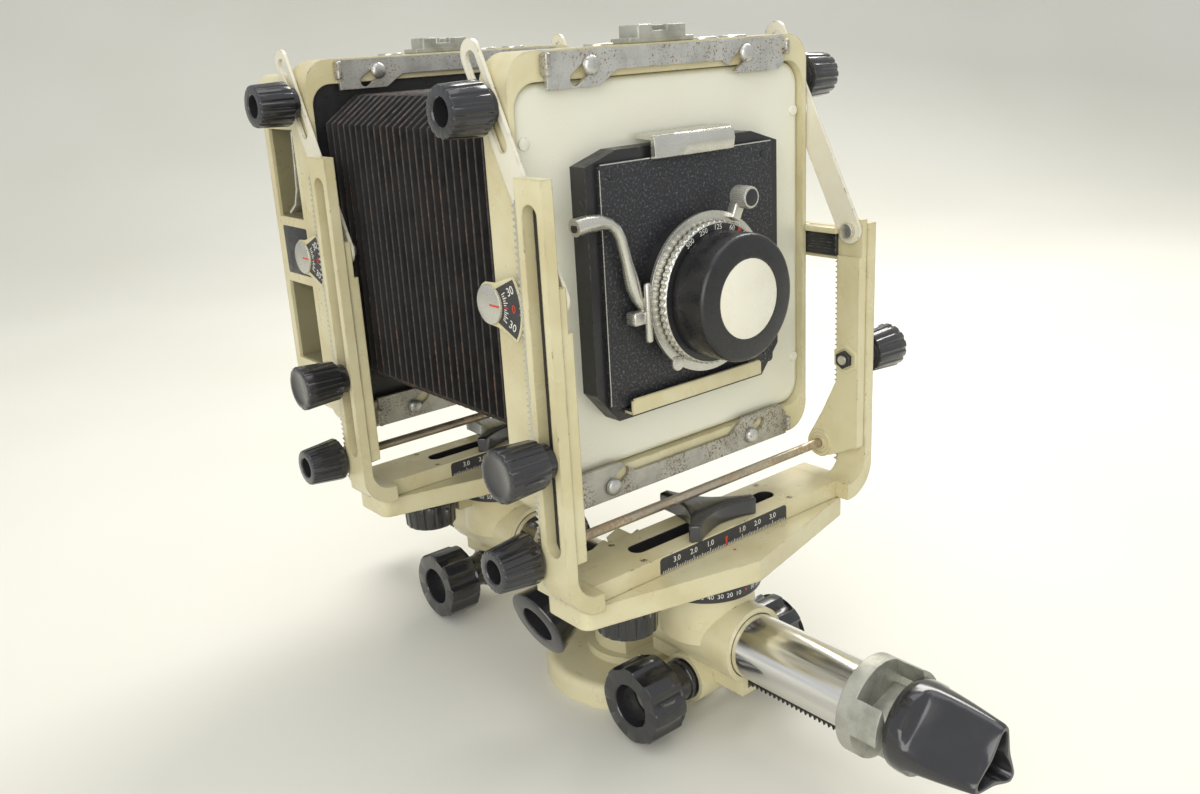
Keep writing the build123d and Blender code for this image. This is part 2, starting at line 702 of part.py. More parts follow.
def clamp_block():
    """Split clamp that grips the rail, on a pedestal that is part of the casting."""
    body = rod_z(BASE_T, RAIL_Z, 0, 0, PEDESTAL_R)
    body = body & block(-PEDESTAL_R, PEDESTAL_R, -CLAMP_HALF, CLAMP_HALF, BASE_T, RAIL_Z)
    body += rod_z(BASE_T, BASE_T + 4, 0, 0, 24)
    body += rod_y(-CLAMP_HALF, CLAMP_HALF, 0, RAIL_Z, CLAMP_R)
    ears = block(-9, 9, -8, 8, 10, EAR_REACH + 6)
    ears -= block(-SLIT / 2, SLIT / 2, -20, 20, 0, 40)
    body -= ear_frame() * block(-SLIT / 2, SLIT / 2, -20, 20, 0, 40)
    body += ear_frame() * ears
    body -= rod_y(-20, 20, 0, RAIL_Z, RAIL_R + RAIL_GAP)
    body -= block(-4.2, 4.2, -20, 20, RACK_PITCH_Z + PLATE_Z - 1.6, RAIL_Z)
    return body - ear_frame() * rod_x(-20, 20, 0, EAR_REACH, 3.0 + RUN_GAP)


def clamp_knob():
    """Hollow knob and screw that close the split clamp."""
    knob = fluted_knob(12, 17.4, 20, 0, 9.4, 12)
    knob = Pos(-35, 0, EAR_REACH) * Rot(0, -90, 0) * knob
    knob += rod_x(-36, 15, 0, EAR_REACH, 3.0)
    knob += rod_x(-36, -14, 0, EAR_REACH, 6.5)
    return ear_frame() * knob


def rail():
    """Chromed tube with the focusing rack along its underside, and the plug in its rear end."""
    tube = rod_y(RAIL_FRONT, RAIL_REAR, 0, RAIL_Z, RAIL_R)
    tube -= rod_y(RAIL_FRONT - 1, RAIL_REAR + 1, 0, RAIL_Z, RAIL_R - RAIL_WALL)
    pitch_z = PLATE_Z + RACK_PITCH_Z
    outline = rack_points(RAIL_FRONT + 8, RAIL_REAR - 2, FRONT_Y + SWING_Y, 4.2)
    points = [(along, pitch_z - out) for along, out in outline]
    tube += prism_x(points, -3.5, 3.5)
    plug = rod_y(RAIL_REAR, RAIL_REAR + 4, 0, RAIL_Z, RAIL_R)
    plug += rod_y(RAIL_REAR - 8, RAIL_REAR, 0, RAIL_Z, RAIL_R - RAIL_WALL)
    return Compound(children=[tube, plug])


def end_collar():
    """Notched cast collar on the front end of the rail."""
    rear, front = FRONT_Y - 78, FRONT_Y - 97
    collar = rod_y(front, rear, 0, RAIL_Z, 20.8)
    for i in range(3):
        notch = block(6, 30, front - 1, rear - 7, -13, 13)
        collar -= Pos(0, 0, RAIL_Z) * Rot(0, 120 * i + 15, 0) * notch
    collar -= rod_y(RAIL_FRONT, rear + 1, 0, RAIL_Z, RAIL_R)
    return collar


def end_grip():
    """Hollow three-cornered grip with hollowed sides."""
    rear, front = FRONT_Y - 98, FRONT_Y - 136
    axis = Plane((0, rear, RAIL_Z), x_dir=(1, 0, 0), z_dir=(0, -1, 0))
    length = rear - front
    grip = rod_z(0, 8, 0, 0, 18.5) + Pos(0, 0, 8 + (length - 8) / 2) * Cone(18.5, 15.5, length - 8)
    for i in range(3):
        a = 15 + 120 * i
        scoop = Pos(59, 0, length) * Rot(0, 5, 0) * Cylinder(50, 54)
        grip -= Rot(0, 0, -a) * (scoop & block(0, 80, -40, 40, 9, length + 1))
    core = rod_z(length - 26, length + 1, 0, 0, 6.6)
    return axis * (grip - core)


def main():
    os.makedirs("parts", exist_ok=True)
    nodes = {
        "base_disc": base_disc(),
        "clamp_block": clamp_block(),
        "clamp_knob": clamp_knob(),
        "rail": rail(),
        "end_collar": end_collar(),
        "end_grip": end_grip(),
        "bellows": bellows(),
    }
    lens = {
        "lens_board": lens_board(),
        "board_adapter": board_adapter(),
        "lens_panel": lens_panel(),
        "adapter_latch": adapter_latch(),
        "shutter": shutter(),
        "speed_ring": speed_ring(),
        "cocking_lever": cocking_lever(),
        "lens_cap": lens_cap(),
    }
    back = {
        "bellows_board": bellows_board(),
        "back_frame": back_frame(),
        "ground_glass": ground_glass(),
    }
    front_place = Pos(0, FRONT_Y, PLATE_Z)
    rear_place = Pos(0, FRONT_Y + STANDARD_STEP, PLATE_Z)
    for name, part in standard(0).items():
        nodes["front_" + name] = front_place * part
    for name, part in standard(STANDARD_STEP).items():
        nodes["rear_" + name] = rear_place * part
    for name, part in lens.items():
        nodes[name] = front_place * part
    for name, part in back.items():
        nodes[name] = rear_place * part
    for name, part in nodes.items():
        export_step(part, f"parts/{name}.step")
    print(len(nodes), "nodes")


main()
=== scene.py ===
import math
import bmesh
import bpy
from mathutils import Matrix, Vector


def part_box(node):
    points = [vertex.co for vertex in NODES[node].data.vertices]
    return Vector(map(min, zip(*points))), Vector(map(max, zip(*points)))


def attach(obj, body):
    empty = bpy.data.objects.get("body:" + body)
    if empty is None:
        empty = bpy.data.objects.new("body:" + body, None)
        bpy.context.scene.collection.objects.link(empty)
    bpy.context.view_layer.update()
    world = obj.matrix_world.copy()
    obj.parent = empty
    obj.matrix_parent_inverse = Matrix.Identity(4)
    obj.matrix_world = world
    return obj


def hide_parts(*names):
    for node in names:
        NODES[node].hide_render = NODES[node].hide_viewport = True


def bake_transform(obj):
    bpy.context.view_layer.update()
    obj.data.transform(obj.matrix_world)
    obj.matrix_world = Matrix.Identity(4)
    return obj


# Looks of a monorail view camera. Pieces are built in millimetres in the frame of one
# standard (y from its shift plate's front face, z from the plate's underside) and carried
# to the row frame by HERE["front"] and HERE["rear"]; HERE["camera"] is the row frame itself.

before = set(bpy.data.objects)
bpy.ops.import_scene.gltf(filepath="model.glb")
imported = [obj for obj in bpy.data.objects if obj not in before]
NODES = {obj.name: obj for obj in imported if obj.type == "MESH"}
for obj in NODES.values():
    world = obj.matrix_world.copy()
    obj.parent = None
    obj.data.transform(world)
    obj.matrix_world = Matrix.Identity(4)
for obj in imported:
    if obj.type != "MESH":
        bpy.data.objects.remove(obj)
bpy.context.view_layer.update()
MM = 0.001


def place_of(side):
    """Matrix from a standard's millimetres to the row frame."""
    low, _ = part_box(f"{side}_shift_plate")
    return Matrix.Translation((0, low.y, low.z)) @ Matrix.Scale(MM, 4)


HERE = {
    "front": place_of("front"),
    "rear": place_of("rear"),
    "camera": Matrix.Scale(MM, 4),
}
SIDES = ("front", "rear")

# Places that several pieces share, in millimetres: in a standard's frame, RAIL_Z in the row frame.
SWING_Y = 13.5
PINION_Z = -65.5
RAIL_Z = 43.25
LENS_Z = 114.3
SLIDER_LOCK = (1.0, 67.4)
CROSS_ROD = (15.7, 22.5)
TRUNNION = (37, 121.5)
# Compass heading in which the picture's camera looks.
HEADING = math.radians(38.79)


# ---- materials -------------------------------------------------------------------
class Look:
    """One node material; distances are in metres, as the meshes are."""

    def __init__(self, name, colour, rough, metal=0.0, coat=0.0, **sockets):
        self.material = bpy.data.materials.new(name)
        self.material.use_nodes = True
        self.tree = self.material.node_tree
        self.shader = self.tree.nodes["Principled BSDF"]
        self.set("Base Color", (*colour, 1))
        self.set("Roughness", rough)
        self.set("Metallic", metal)
        self.set("Coat Weight", coat)
        for socket, value in sockets.items():
            self.set(socket.replace("_", " "), value)
        self.where = self.node("ShaderNodeTexCoord").outputs["Object"]

    def set(self, socket, value):
        self.shader.inputs[socket].default_value = value

    def node(self, kind, **settings):
        made = self.tree.nodes.new(kind)
        for key, value in settings.items():
            setattr(made, key, value)
        return made

    def link(self, output, target):
        self.tree.links.new(output, target)

    def noise(self, size, detail=3.0, stretch=(1, 1, 1), rough=0.55):
        """Noise whose features are about size metres, longer along a small stretch."""
        mapping = self.node("ShaderNodeMapping")
        mapping.inputs["Scale"].default_value = stretch
        self.link(self.where, mapping.inputs["Vector"])
        made = self.node("ShaderNodeTexNoise")
        made.inputs["Scale"].default_value = 1 / size
        made.inputs["Detail"].default_value = detail
        made.inputs["Roughness"].default_value = rough
        self.link(mapping.outputs[0], made.inputs["Vector"])
        return made.outputs["Fac"]

    def step(self, value, low, high, out=(0.0, 1.0)):
        """Maps value from low..high to out, smoothly and clamped."""
        made = self.node("ShaderNodeMapRange", interpolation_type="SMOOTHSTEP")
        made.inputs["From Min"].default_value = low
        made.inputs["From Max"].default_value = high
        made.inputs["To Min"].default_value = out[0]
        made.inputs["To Max"].default_value = out[1]
        self.link(value, made.inputs["Value"])
        return made.outputs["Result"]

    def times(self, a, b):
        made = self.node("ShaderNodeMath", operation="MULTIPLY")
        self.link(a, made.inputs[0])
        self.link(b, made.inputs[1])
        return made.outputs[0]

    def blend(self, mask, below, above):
        """Colour below where mask is 0 and above where it is 1."""
        made = self.node("ShaderNodeMix", data_type="RGBA")
        self.link(mask, made.inputs["Factor"])
        for key, colour in (("A", below), ("B", above)):
            socket = [s for s in made.inputs if s.name == key and s.type == "RGBA"][0]
            if isinstance(colour, tuple):
                socket.default_value = (*colour, 1)
            else:
                self.link(colour, socket)
        return [s for s in made.outputs if s.type == "RGBA"][0]

    def paint(self, colour):
        self.link(colour, self.shader.inputs["Base Color"])

    def gloss(self, rough):
        self.link(rough, self.shader.inputs["Roughness"])

    def metal(self, mask):
        self.link(mask, self.shader.inputs["Metallic"])

    def soft_edges(self, radius):
        """Rounded highlights on the edges; returns the normal."""
        made = self.node("ShaderNodeBevel", samples=4)
        made.inputs["Radius"].default_value = radius
        return made.outputs["Normal"]

    def edges(self, radius, start=0.03, full=0.16):
        """Mask of the outer and inner edges within radius."""
        dot = self.node("ShaderNodeVectorMath", operation="DOT_PRODUCT")
        self.link(self.soft_edges(radius), dot.inputs[0])
        self.link(self.node("ShaderNodeNewGeometry").outputs["Normal"], dot.inputs[1])
        return self.step(dot.outputs["Value"], 1 - start, 1 - full)

    def bump(self, height, depth, normal=None, strength=1.0):
        made = self.node("ShaderNodeBump")
        made.inputs["Strength"].default_value = strength
        made.inputs["Distance"].default_value = depth
        self.link(height, made.inputs["Height"])
        if normal is not None:
            self.link(normal, made.inputs["Normal"])
        return made.outputs["Normal"]

    def surface(self, normal):
        self.link(normal, self.shader.inputs["Normal"])
        return self


def enamel(name, light, dark, chips=0.62, rough=0.33):
    """Hard enamel over cast metal: slight tint, orange peel, darker noisy patches near outer and inner
    edges, and chips at the edges.
    """
    look = Look(name, light, rough, coat=0.25, Coat_Roughness=0.18)
    tint = look.step(look.noise(0.03, 4), 0.35, 0.7)
    colour = look.blend(tint, light, dark)
    edge = look.edges(0.0011)
    # Darker patches along outer and inner edges, broken up by noise.
    edge_darkening = look.times(look.edges(0.0022, 0.02, 0.3), look.step(look.noise(0.009, 4), 0.45, 0.8))
    colour = look.blend(edge_darkening, colour, tuple(c * 0.55 for c in dark))
    chip = look.times(edge, look.step(look.noise(0.0042, 5, rough=0.7), chips, chips + 0.03))
    colour = look.blend(chip, colour, (0.035, 0.03, 0.026))
    look.paint(colour)
    look.gloss(look.step(look.noise(0.012, 4), 0.3, 0.75, (rough - 0.07, rough + 0.12)))
    peel = look.bump(look.noise(0.0016, 2), 0.00004, look.soft_edges(0.0006), 0.35)
    return look.surface(peel).material


def pearl():
    """Pearl-cream enamel with a fine flake."""
    look = Look("pearl_enamel", (0.74, 0.73, 0.60), 0.34, coat=0.35, Coat_Roughness=0.12)
    flake = look.step(look.noise(0.0006, 2), 0.35, 0.65)
    cloud = look.step(look.noise(0.035, 3), 0.4, 0.75)
    colour = look.blend(cloud, (0.75, 0.745, 0.62), (0.70, 0.68, 0.54))
    colour = look.blend(look.times(flake, cloud), colour, (0.80, 0.79, 0.67))
    rim = look.times(look.edges(0.0012), look.step(look.noise(0.004, 4), 0.64, 0.67))
    look.paint(look.blend(rim, colour, (0.10, 0.085, 0.06)))
    look.set("Metallic", 0.12)
    return look.surface(look.bump(look.noise(0.0009, 2), 0.00003, strength=0.4)).material


def steel(name, colour, rough, spots, spot_colour=(0.20, 0.11, 0.05), spot_size=0.0016,
          relief=0.4, dull=0.72, uneven=0.14):
    """Bare steel: cloudy tarnish, brown spots, streaked gloss and a fine relief."""
    look = Look(name, colour, rough, metal=0.85)
    tarnish = look.step(look.noise(0.011, 5), 0.35, 0.75)
    shade = look.blend(tarnish, colour, tuple(c * dull for c in colour))
    spot = look.step(look.noise(spot_size, 4, rough=0.75), spots, spots + 0.03)
    patch = look.times(spot, look.step(look.noise(0.02, 2), 0.38, 0.55))
    look.paint(look.blend(patch, shade, spot_colour))
    look.metal(look.step(patch, 0.0, 1.0, (0.85, 0.1)))
    look.gloss(look.step(look.noise(0.0025, 4, (1, 1, 7)), 0.3, 0.7, (rough - uneven / 2, rough + uneven)))
    normal = look.bump(look.noise(0.0007, 3), 0.00003, look.soft_edges(0.0004), relief)
    return look.surface(normal).material


def bakelite():
    """Glossy moulded black with a little dust."""
    look = Look("black_bakelite", (0.02, 0.02, 0.022), 0.2, coat=0.4, Coat_Roughness=0.08)
    dust = look.step(look.noise(0.0019, 5, rough=0.75), 0.62, 0.9)
    look.paint(look.blend(dust, (0.02, 0.02, 0.022), (0.055, 0.052, 0.048)))
    look.gloss(look.step(look.noise(0.009, 4), 0.3, 0.75, (0.14, 0.28)))
    return look.surface(look.bump(look.noise(0.004, 2), 0.00002, look.soft_edges(0.0004), 0.1)).material


def matt_black(name, tone, rough):
    """Satin or matt black paint with worn, slightly paler edges."""
    look = Look(name, (tone, tone, tone), rough)
    wear = look.times(look.edges(0.0007), look.step(look.noise(0.003, 4), 0.45, 0.7))
    look.paint(look.blend(wear, (tone, tone, tone * 1.08), (0.16, 0.15, 0.13)))
    look.gloss(look.step(look.noise(0.006, 4), 0.3, 0.7, (rough - 0.1, rough + 0.12)))
    normal = look.bump(look.noise(0.0012, 3), 0.00003, look.soft_edges(0.0004), 0.5)
    return look.surface(normal).material


def crackle():
    """Black wrinkle finish, grey on its high points."""
    look = Look("black_crackle", (0.03, 0.03, 0.032), 0.42)
    grain = look.noise(0.0011, 4, rough=0.65)
    high = look.step(grain, 0.5, 0.72)
    look.paint(look.blend(high, (0.014, 0.014, 0.016), (0.11, 0.115, 0.125)))
    look.gloss(look.step(grain, 0.4, 0.7, (0.55, 0.3)))
    return look.surface(look.bump(grain, 0.00022, strength=0.8)).material


def chrome_rail():
    """Chromed tube with lengthwise streaks; the rack below it is blackened."""
    low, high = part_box("rail")
    radius = high.x
    under = high.z - 1.975 * radius
    look = Look("chrome_rail", (0.78, 0.77, 0.74), 0.14, metal=1.0)
    split = look.node("ShaderNodeSeparateXYZ")
    look.link(look.where, split.inputs[0])
    black = look.step(split.outputs["Z"], under, under - 0.0002)
    streak = look.step(look.noise(0.004, 5, (1, 0.04, 1)), 0.3, 0.75)
    tube = look.blend(streak, (0.88, 0.87, 0.84), (0.70, 0.68, 0.64))
    look.paint(look.blend(black, tube, (0.02, 0.02, 0.02)))
    look.gloss(look.step(look.noise(0.003, 4, (1, 0.05, 1)), 0.3, 0.7, (0.1, 0.26)))
    look.metal(look.step(split.outputs["Z"], under - 0.0002, under, (0.4, 1.0)))
    return look.surface(look.soft_edges(0.0003)).material


def cast_metal():
    """Sand-cast aluminium, grey with a coarse grain."""
    look = Look("cast_aluminium", (0.42, 0.42, 0.37), 0.55, metal=0.75)
    grain = look.noise(0.0013, 5, rough=0.7)
    cloud = look.step(look.noise(0.012, 3), 0.35, 0.7)
    look.paint(look.blend(cloud, (0.50, 0.50, 0.44), (0.33, 0.33, 0.28)))
    look.gloss(look.step(grain, 0.35, 0.7, (0.42, 0.7)))
    normal = look.bump(grain, 0.00016, look.soft_edges(0.0007), 0.7)
    return look.surface(normal).material


def bellows_cloth():
    """Thin black leather, brown and frayed where a fold stands out."""
    look = Look("bellows_cloth", (0.008, 0.007, 0.006), 0.6, Sheen_Weight=0.05)
    worn = look.node("ShaderNodeAttribute", attribute_name="wear").outputs["Fac"]
    patches = look.step(look.noise(0.014, 5, (1, 1, 0.3), 0.7), 0.46, 0.7)
    streaks = look.step(look.noise(0.0022, 4, rough=0.75), 0.42, 0.62)
    rub = look.times(look.step(worn, 0.86, 1.0), look.times(patches, streaks))
    mottle = look.step(look.noise(0.02, 4), 0.3, 0.7)
    base = look.blend(mottle, (0.004, 0.0035, 0.0035), (0.012, 0.009, 0.008))
    edge = look.blend(look.times(look.step(worn, 0.8, 1.0), streaks), base, (0.055, 0.045, 0.038))
    look.paint(look.blend(rub, edge, (0.26, 0.085, 0.022)))
    look.gloss(look.step(look.noise(0.005, 4), 0.3, 0.7, (0.45, 0.7)))
    return look.surface(look.bump(look.noise(0.0008, 3), 0.00005, strength=0.5)).material


def ground():
    """Ground glass with a faint even grain."""
    look = Look("ground_glass", (0.72, 0.75, 0.74), 0.55, Transmission_Weight=0.45, IOR=1.5)
    grain = look.noise(0.0004, 2)
    look.paint(look.blend(look.step(grain, 0.3, 0.7), (0.68, 0.71, 0.70), (0.80, 0.83, 0.82)))
    return look.surface(look.bump(grain, 0.00002, strength=0.4)).material


def ink(name, colour):
    """Filled engraving, slightly uneven."""
    look = Look(name, colour, 0.5)
    uneven = look.step(look.noise(0.0009, 3), 0.35, 0.75)
    look.paint(look.blend(uneven, colour, tuple(c * 0.72 for c in colour)))
    return look.material


CREAM = enamel("cream_enamel", (0.62, 0.57, 0.36), (0.54, 0.475, 0.27))
# Dark olive enamel: painted shade for the back frame's pockets.
POCKET_SHADE = enamel("painted_pocket_shade", (0.24, 0.22, 0.13), (0.20, 0.18, 0.10))
PEARL = pearl()
LATCH = steel("spotted_steel", (0.60, 0.60, 0.56), 0.38, 0.57, spot_size=0.0011)
CRAZED = steel("crazed_steel", (0.50, 0.49, 0.44), 0.42, 0.53, (0.17, 0.13, 0.08), 0.0011)
SILVER = steel("satin_silver", (0.60, 0.59, 0.53), 0.28, 0.84, relief=0.0, dull=0.9, uneven=0.05)
ROD = steel("worn_rod", (0.52, 0.46, 0.36), 0.36, 0.5, (0.33, 0.24, 0.14), 0.0035)
STRUT = enamel("strut_enamel", (0.72, 0.69, 0.56), (0.66, 0.62, 0.48), 0.6)
BLACK = bakelite()
SATIN = matt_black("satin_black", 0.018, 0.36)
RING = matt_black("ring_black", 0.028, 0.45)
DIAL = matt_black("dial_black", 0.03, 0.5)
CRACKLE = crackle()
CHROME = chrome_rail()
CAST = cast_metal()
CLOTH = bellows_cloth()
GLASS = ground()
WHITE = ink("white_ink", (0.78, 0.76, 0.68))
RED = ink("red_ink", (0.62, 0.045, 0.02))
DISC = enamel("cap_disc", (0.74, 0.72, 0.60), (0.70, 0.67, 0.54), 0.9, 0.3)


# ---- mesh building -----------------------------------------------------------------
def axes(origin, x_dir, y_dir):
    """Matrix whose X and Y run along two directions from an origin, in millimetres."""
    x, y = Vector(x_dir).normalized(), Vector(y_dir).normalized()
    turn = Matrix((x, y, x.cross(y))).transposed().to_4x4()
    return Matrix.Translation(origin) @ turn


def outward(side, x, y, z):
    """Frame at a point whose Z points away from the camera's middle along X; X points up."""
    return axes((side * x, y, z), (0, 0, 1), (0, -side, 0))


def facing_front(x, y, z):
    """Frame whose Z points to the front, along -Y, with X to the right and Y up."""
    return axes((x, y, z), (1, 0, 0), (0, 0, 1))


class Shape:
    """Collects surfaces in millimetres and makes one piece of them."""

    def __init__(self):
        self.points = []
        self.faces = []
        self.looks = []

    def add(self, surface, place=None, look=0):
        points, faces = surface
        start = len(self.points)
        place = place or Matrix.Identity(4)
        self.points += [place @ Vector(p) for p in points]
        self.faces += [[i + start for i in f] for f in faces]
        self.looks += [look] * len(faces)
        return self

    def piece(self, name, here, body, materials, slot, replaced=(), sharp=38):
        """Makes the mesh, gives it its looks and fixes it to a body."""
        mesh = bpy.data.meshes.new(name)
        mesh.from_pydata([HERE[here] @ p for p in self.points], [], self.faces)
        for material in materials:
            mesh.materials.append(material)
        mesh.polygons.foreach_set("material_index", self.looks)
        smooth(mesh, sharp)
        made = bpy.data.objects.new(name, mesh)
        bpy.context.scene.collection.objects.link(made)
        if body:
            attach(made, body)
        if replaced:
            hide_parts(*replaced)
        return made


def smooth(mesh, sharp):
    """Outward faces, smooth shading, and sharp edges above an angle in degrees."""
    work = bmesh.new()
    work.from_mesh(mesh)
    bmesh.ops.recalc_face_normals(work, faces=work.faces)
    work.to_mesh(mesh)
    work.free()
    mesh.shade_smooth()
    mesh.set_sharp_from_angle(angle=math.radians(sharp))


def joined(rings, size, closed=False):
    """Faces between neighbouring rings of size points; closed joins the last ring to the first."""
    faces = []
    for k in range(rings if closed else rings - 1):
        m = (k + 1) % rings
        for i in range(size):
            j = (i + 1) % size
            faces.append((k * size + i, k * size + j, m * size + j, m * size + i))
    return faces


def lids(rings, size):
    """Faces that close the first and the last ring."""
    last = (rings - 1) * size
    return [tuple(range(size - 1, -1, -1)), tuple(range(last, last + size))]


def turned(profile, segments=64, depth=None):
    """Surface turned about Z from (radius, height, share) points; depth(angle) is cut in by share."""
    points = []
    for radius, height, share in profile:
        for i in range(segments):
            angle = 2 * math.pi * i / segments
            r = radius - (share * depth(angle) if depth else 0)
            points.append((r * math.cos(angle), r * math.sin(angle), height))
    return points, joined(len(profile), segments) + lids(len(profile), segments)


def plain(profile, segments=64):
    """Turned surface from (radius, height) points."""
    return turned([(r, h, 0) for r, h in profile], segments)


def button(radius, height, rim=0.4, segments=48):
    """Low round head with a rounded rim."""
    return plain([(radius, 0), (radius, height - rim), (radius - rim * 0.3, height - rim * 0.3),
                  (radius - rim, height)], segments)


def rounded_box(low, high, radius=0.6, segments=3):
    """Box with rounded edges."""
    work = bmesh.new()
    bmesh.ops.create_cube(work, size=1)
    size = [h - l for l, h in zip(low, high)]
    middle = [(h + l) / 2 for l, h in zip(low, high)]
    bmesh.ops.scale(work, vec=size, verts=work.verts)
    bmesh.ops.translate(work, vec=middle, verts=work.verts)
    radius = min(radius, min(size) * 0.49)
    bmesh.ops.bevel(work, geom=work.edges, offset=radius, segments=segments, profile=0.5, affect="EDGES")
    return read(work)


def plate(outline, thickness, radius=0.4, segments=2):
    """Plate from an outline in X and Y, from z = 0 to its rounded face at z = thickness."""
    work = bmesh.new()
    ring = [work.verts.new((x, y, 0)) for x, y in outline]
    base = work.faces.new(ring)
    made = bmesh.ops.extrude_face_region(work, geom=[base])
    top = [v for v in made["geom"] if isinstance(v, bmesh.types.BMVert)]
    bmesh.ops.translate(work, vec=(0, 0, thickness), verts=top)
    rim = [e for e in work.edges if all(abs(v.co.z - thickness) < 1e-6 for v in e.verts)]
    bmesh.ops.bevel(work, geom=rim, offset=radius, segments=segments, profile=0.5, affect="EDGES")
    return read(work)


def read(work):
    """Points and faces of a bmesh, which is freed."""
    work.verts.index_update()
    points = [tuple(v.co) for v in work.verts]
    faces = [[v.index for v in f.verts] for f in work.faces]
    work.free()
    return points, faces


def rounded_outline(x0, x1, y0, y1, radius, steps=8):
    """Outline of a rectangle with round corners, counter-clockwise."""
    outline = []
    corners = ((x1 - radius, y1 - radius, 0), (x0 + radius, y1 - radius, 90),
               (x0 + radius, y0 + radius, 180), (x1 - radius, y0 + radius, 270))
    for x, y, start in corners:
        for i in range(steps + 1):
            a = math.radians(start + 90 * i / steps)
            outline.append((x + radius * math.cos(a), y + radius * math.sin(a)))
    return outline


def raised(place, height):
    """The same frame, moved along its own Z."""
    return place @ Matrix.Translation((0, 0, height))


def arc(radius, start, end, steps, centre=(0, 0)):
    """Points along an arc, angles in degrees."""
    angles = [math.radians(start + (end - start) * i / steps) for i in range(steps + 1)]
    return [(centre[0] + radius * math.cos(a), centre[1] + radius * math.sin(a)) for a in angles]


def lettering(text, height, depth=0.12):
    """Numerals centred on the origin in X and Y, height millimetres tall."""
    curve = bpy.data.curves.new("numerals", "FONT")
    curve.body = text
    curve.size = height * 1.42
    curve.extrude = depth / 2
    curve.resolution_u = 3
    curve.align_x = "CENTER"
    curve.align_y = "CENTER"
    carrier = bpy.data.objects.new("numerals", curve)
    bpy.context.scene.collection.objects.link(carrier)
    bpy.context.view_layer.update()
    solid = carrier.evaluated_get(bpy.context.evaluated_depsgraph_get())
    mesh = bpy.data.meshes.new_from_object(solid)
    points = [tuple(v.co) for v in mesh.vertices]
    faces = [list(p.vertices) for p in mesh.polygons]
    bpy.data.objects.remove(carrier)
    bpy.data.meshes.remove(mesh)
    bpy.data.curves.remove(curve)
    return points, faces


def mark(x0, x1, y0, y1, depth=0.12):
    """A straight engraved mark."""
    return plate([(x0, y0), (x1, y0), (x1, y1), (x0, y1)], depth, 0.02, 1)


def tube(route, radii, segments):
    """Round bar along a list of points, with a radius at each, closed at both ends."""
    route = [Vector(p) for p in route]
    points = []
    normal = None
    for k, here in enumerate(route):
        ahead = route[min(k + 1, len(route) - 1)] - route[max(k - 1, 0)]
        ahead.normalize()
        if normal is None:
            normal = ahead.orthogonal().normalized()
        normal = (normal - ahead * normal.dot(ahead)).normalized()
        other = ahead.cross(normal)
        for i in range(segments):
            a = 2 * math.pi * i / segments
            points.append(here + (normal * math.cos(a) + other * math.sin(a)) * radii[k])
    ends = [face[::-1] for face in lids(len(route), segments)]
    return points, joined(len(route), segments) + ends


# ---- knobs ---------------------------------------------------------------------------
def grooves(count, depth, width):
    """Round-bottomed flutes: depth at an angle for count flutes, width as a share of the pitch."""
    def cut(angle):
        offset = (angle * count / (2 * math.pi)) % 1 - 0.5
        inside = 1 - (2 * offset / width) ** 2
        return depth * math.sqrt(inside) if inside > 0 else 0
    return cut


def knob_profile(inner, outer, length, hole, hole_depth):
    """Tapered knob from its inner face at 0 to its outer face at length, with a stepped hole."""
    rim = 1.0
    profile = [(inner * 0.5, 0, 0), (inner - rim, 0, 0)]
    profile += [(inner - rim * 0.3, rim * 0.3, 0.5), (inner, rim, 1)]
    profile += [(inner + (outer - inner) * t, rim + (length - 2 * rim) * t, 1) for t in (0.33, 0.66)]
    profile += [(outer, length - rim, 1), (outer - rim * 0.3, length - rim * 0.3, 1)]
    profile += [(outer - rim, length, 0)]
    if hole:
        profile += [(hole + 0.5, length, 0), (hole, length - 0.5, 0)]
        profile += [(hole * 0.9, length - hole_depth, 0), (0.6, length - hole_depth, 0)]
    else:
        profile += [(outer * 0.72, length + 0.15, 0), (outer * 0.68, length - 0.1, 0), (0.6, length, 0)]
    return profile


def fluted(inner, outer, length, flutes, hole, hole_depth, depth=0.55, width=0.42):
    """Tapered knob with flutes along its side."""
    profile = knob_profile(inner, outer, length, hole, hole_depth)
    return turned(profile, flutes * 8, grooves(flutes, depth, width))


def lobed():
    """Focusing knob with eight lobes and a deep hole."""
    return turned(knob_profile(18.2, 18.2, 18, 9.8, 12), 128, grooves(8, 1.9, 0.56))


def focus_knobs(side):
    shape = Shape()
    for way in (-1, 1):
        place = outward(way, 31, SWING_Y, PINION_Z)
        shape.add(lobed(), place)
        shape.add(plain([(8.7, -17), (8.7, -0.2), (7, 0.4)]), place)
        shape.add(plain([(9.6, -13.2), (9.6, -12.2), (9.2, -11.8), (8.4, -11.8)]), place)
        shape.add(button(8.2, 1.4), raised(place, 6.1), 1)
        shape.add(mark(-5, 5, -0.5, 0.5, 0.3), raised(place, 7.3))
    shape.piece(f"{side}_focusing_knobs", side, f"{side}_focus", [BLACK, CAST], "black_bakelite",
                [f"{side}_focus_knobs"])


def tilt_knobs(side):
    shape = Shape()
    for way in (-1, 1):
        place = outward(way, 88, 34, 195)
        shape.add(fluted(10.4, 9.8, 17, 16, 5.2, 10), place)
        shape.add(plain([(7.2, -3.6), (7.2, 0.2), (6, 0.4)]), place)
        shape.add(plain([(1.25, -12), (1.25, 0)], 16), place, 1)
    shape.piece(f"{side}_tilt_clamps", side, f"{side}_tilt_lock", [BLACK, SILVER], "black_bakelite",
                [f"{side}_tilt_knobs"])


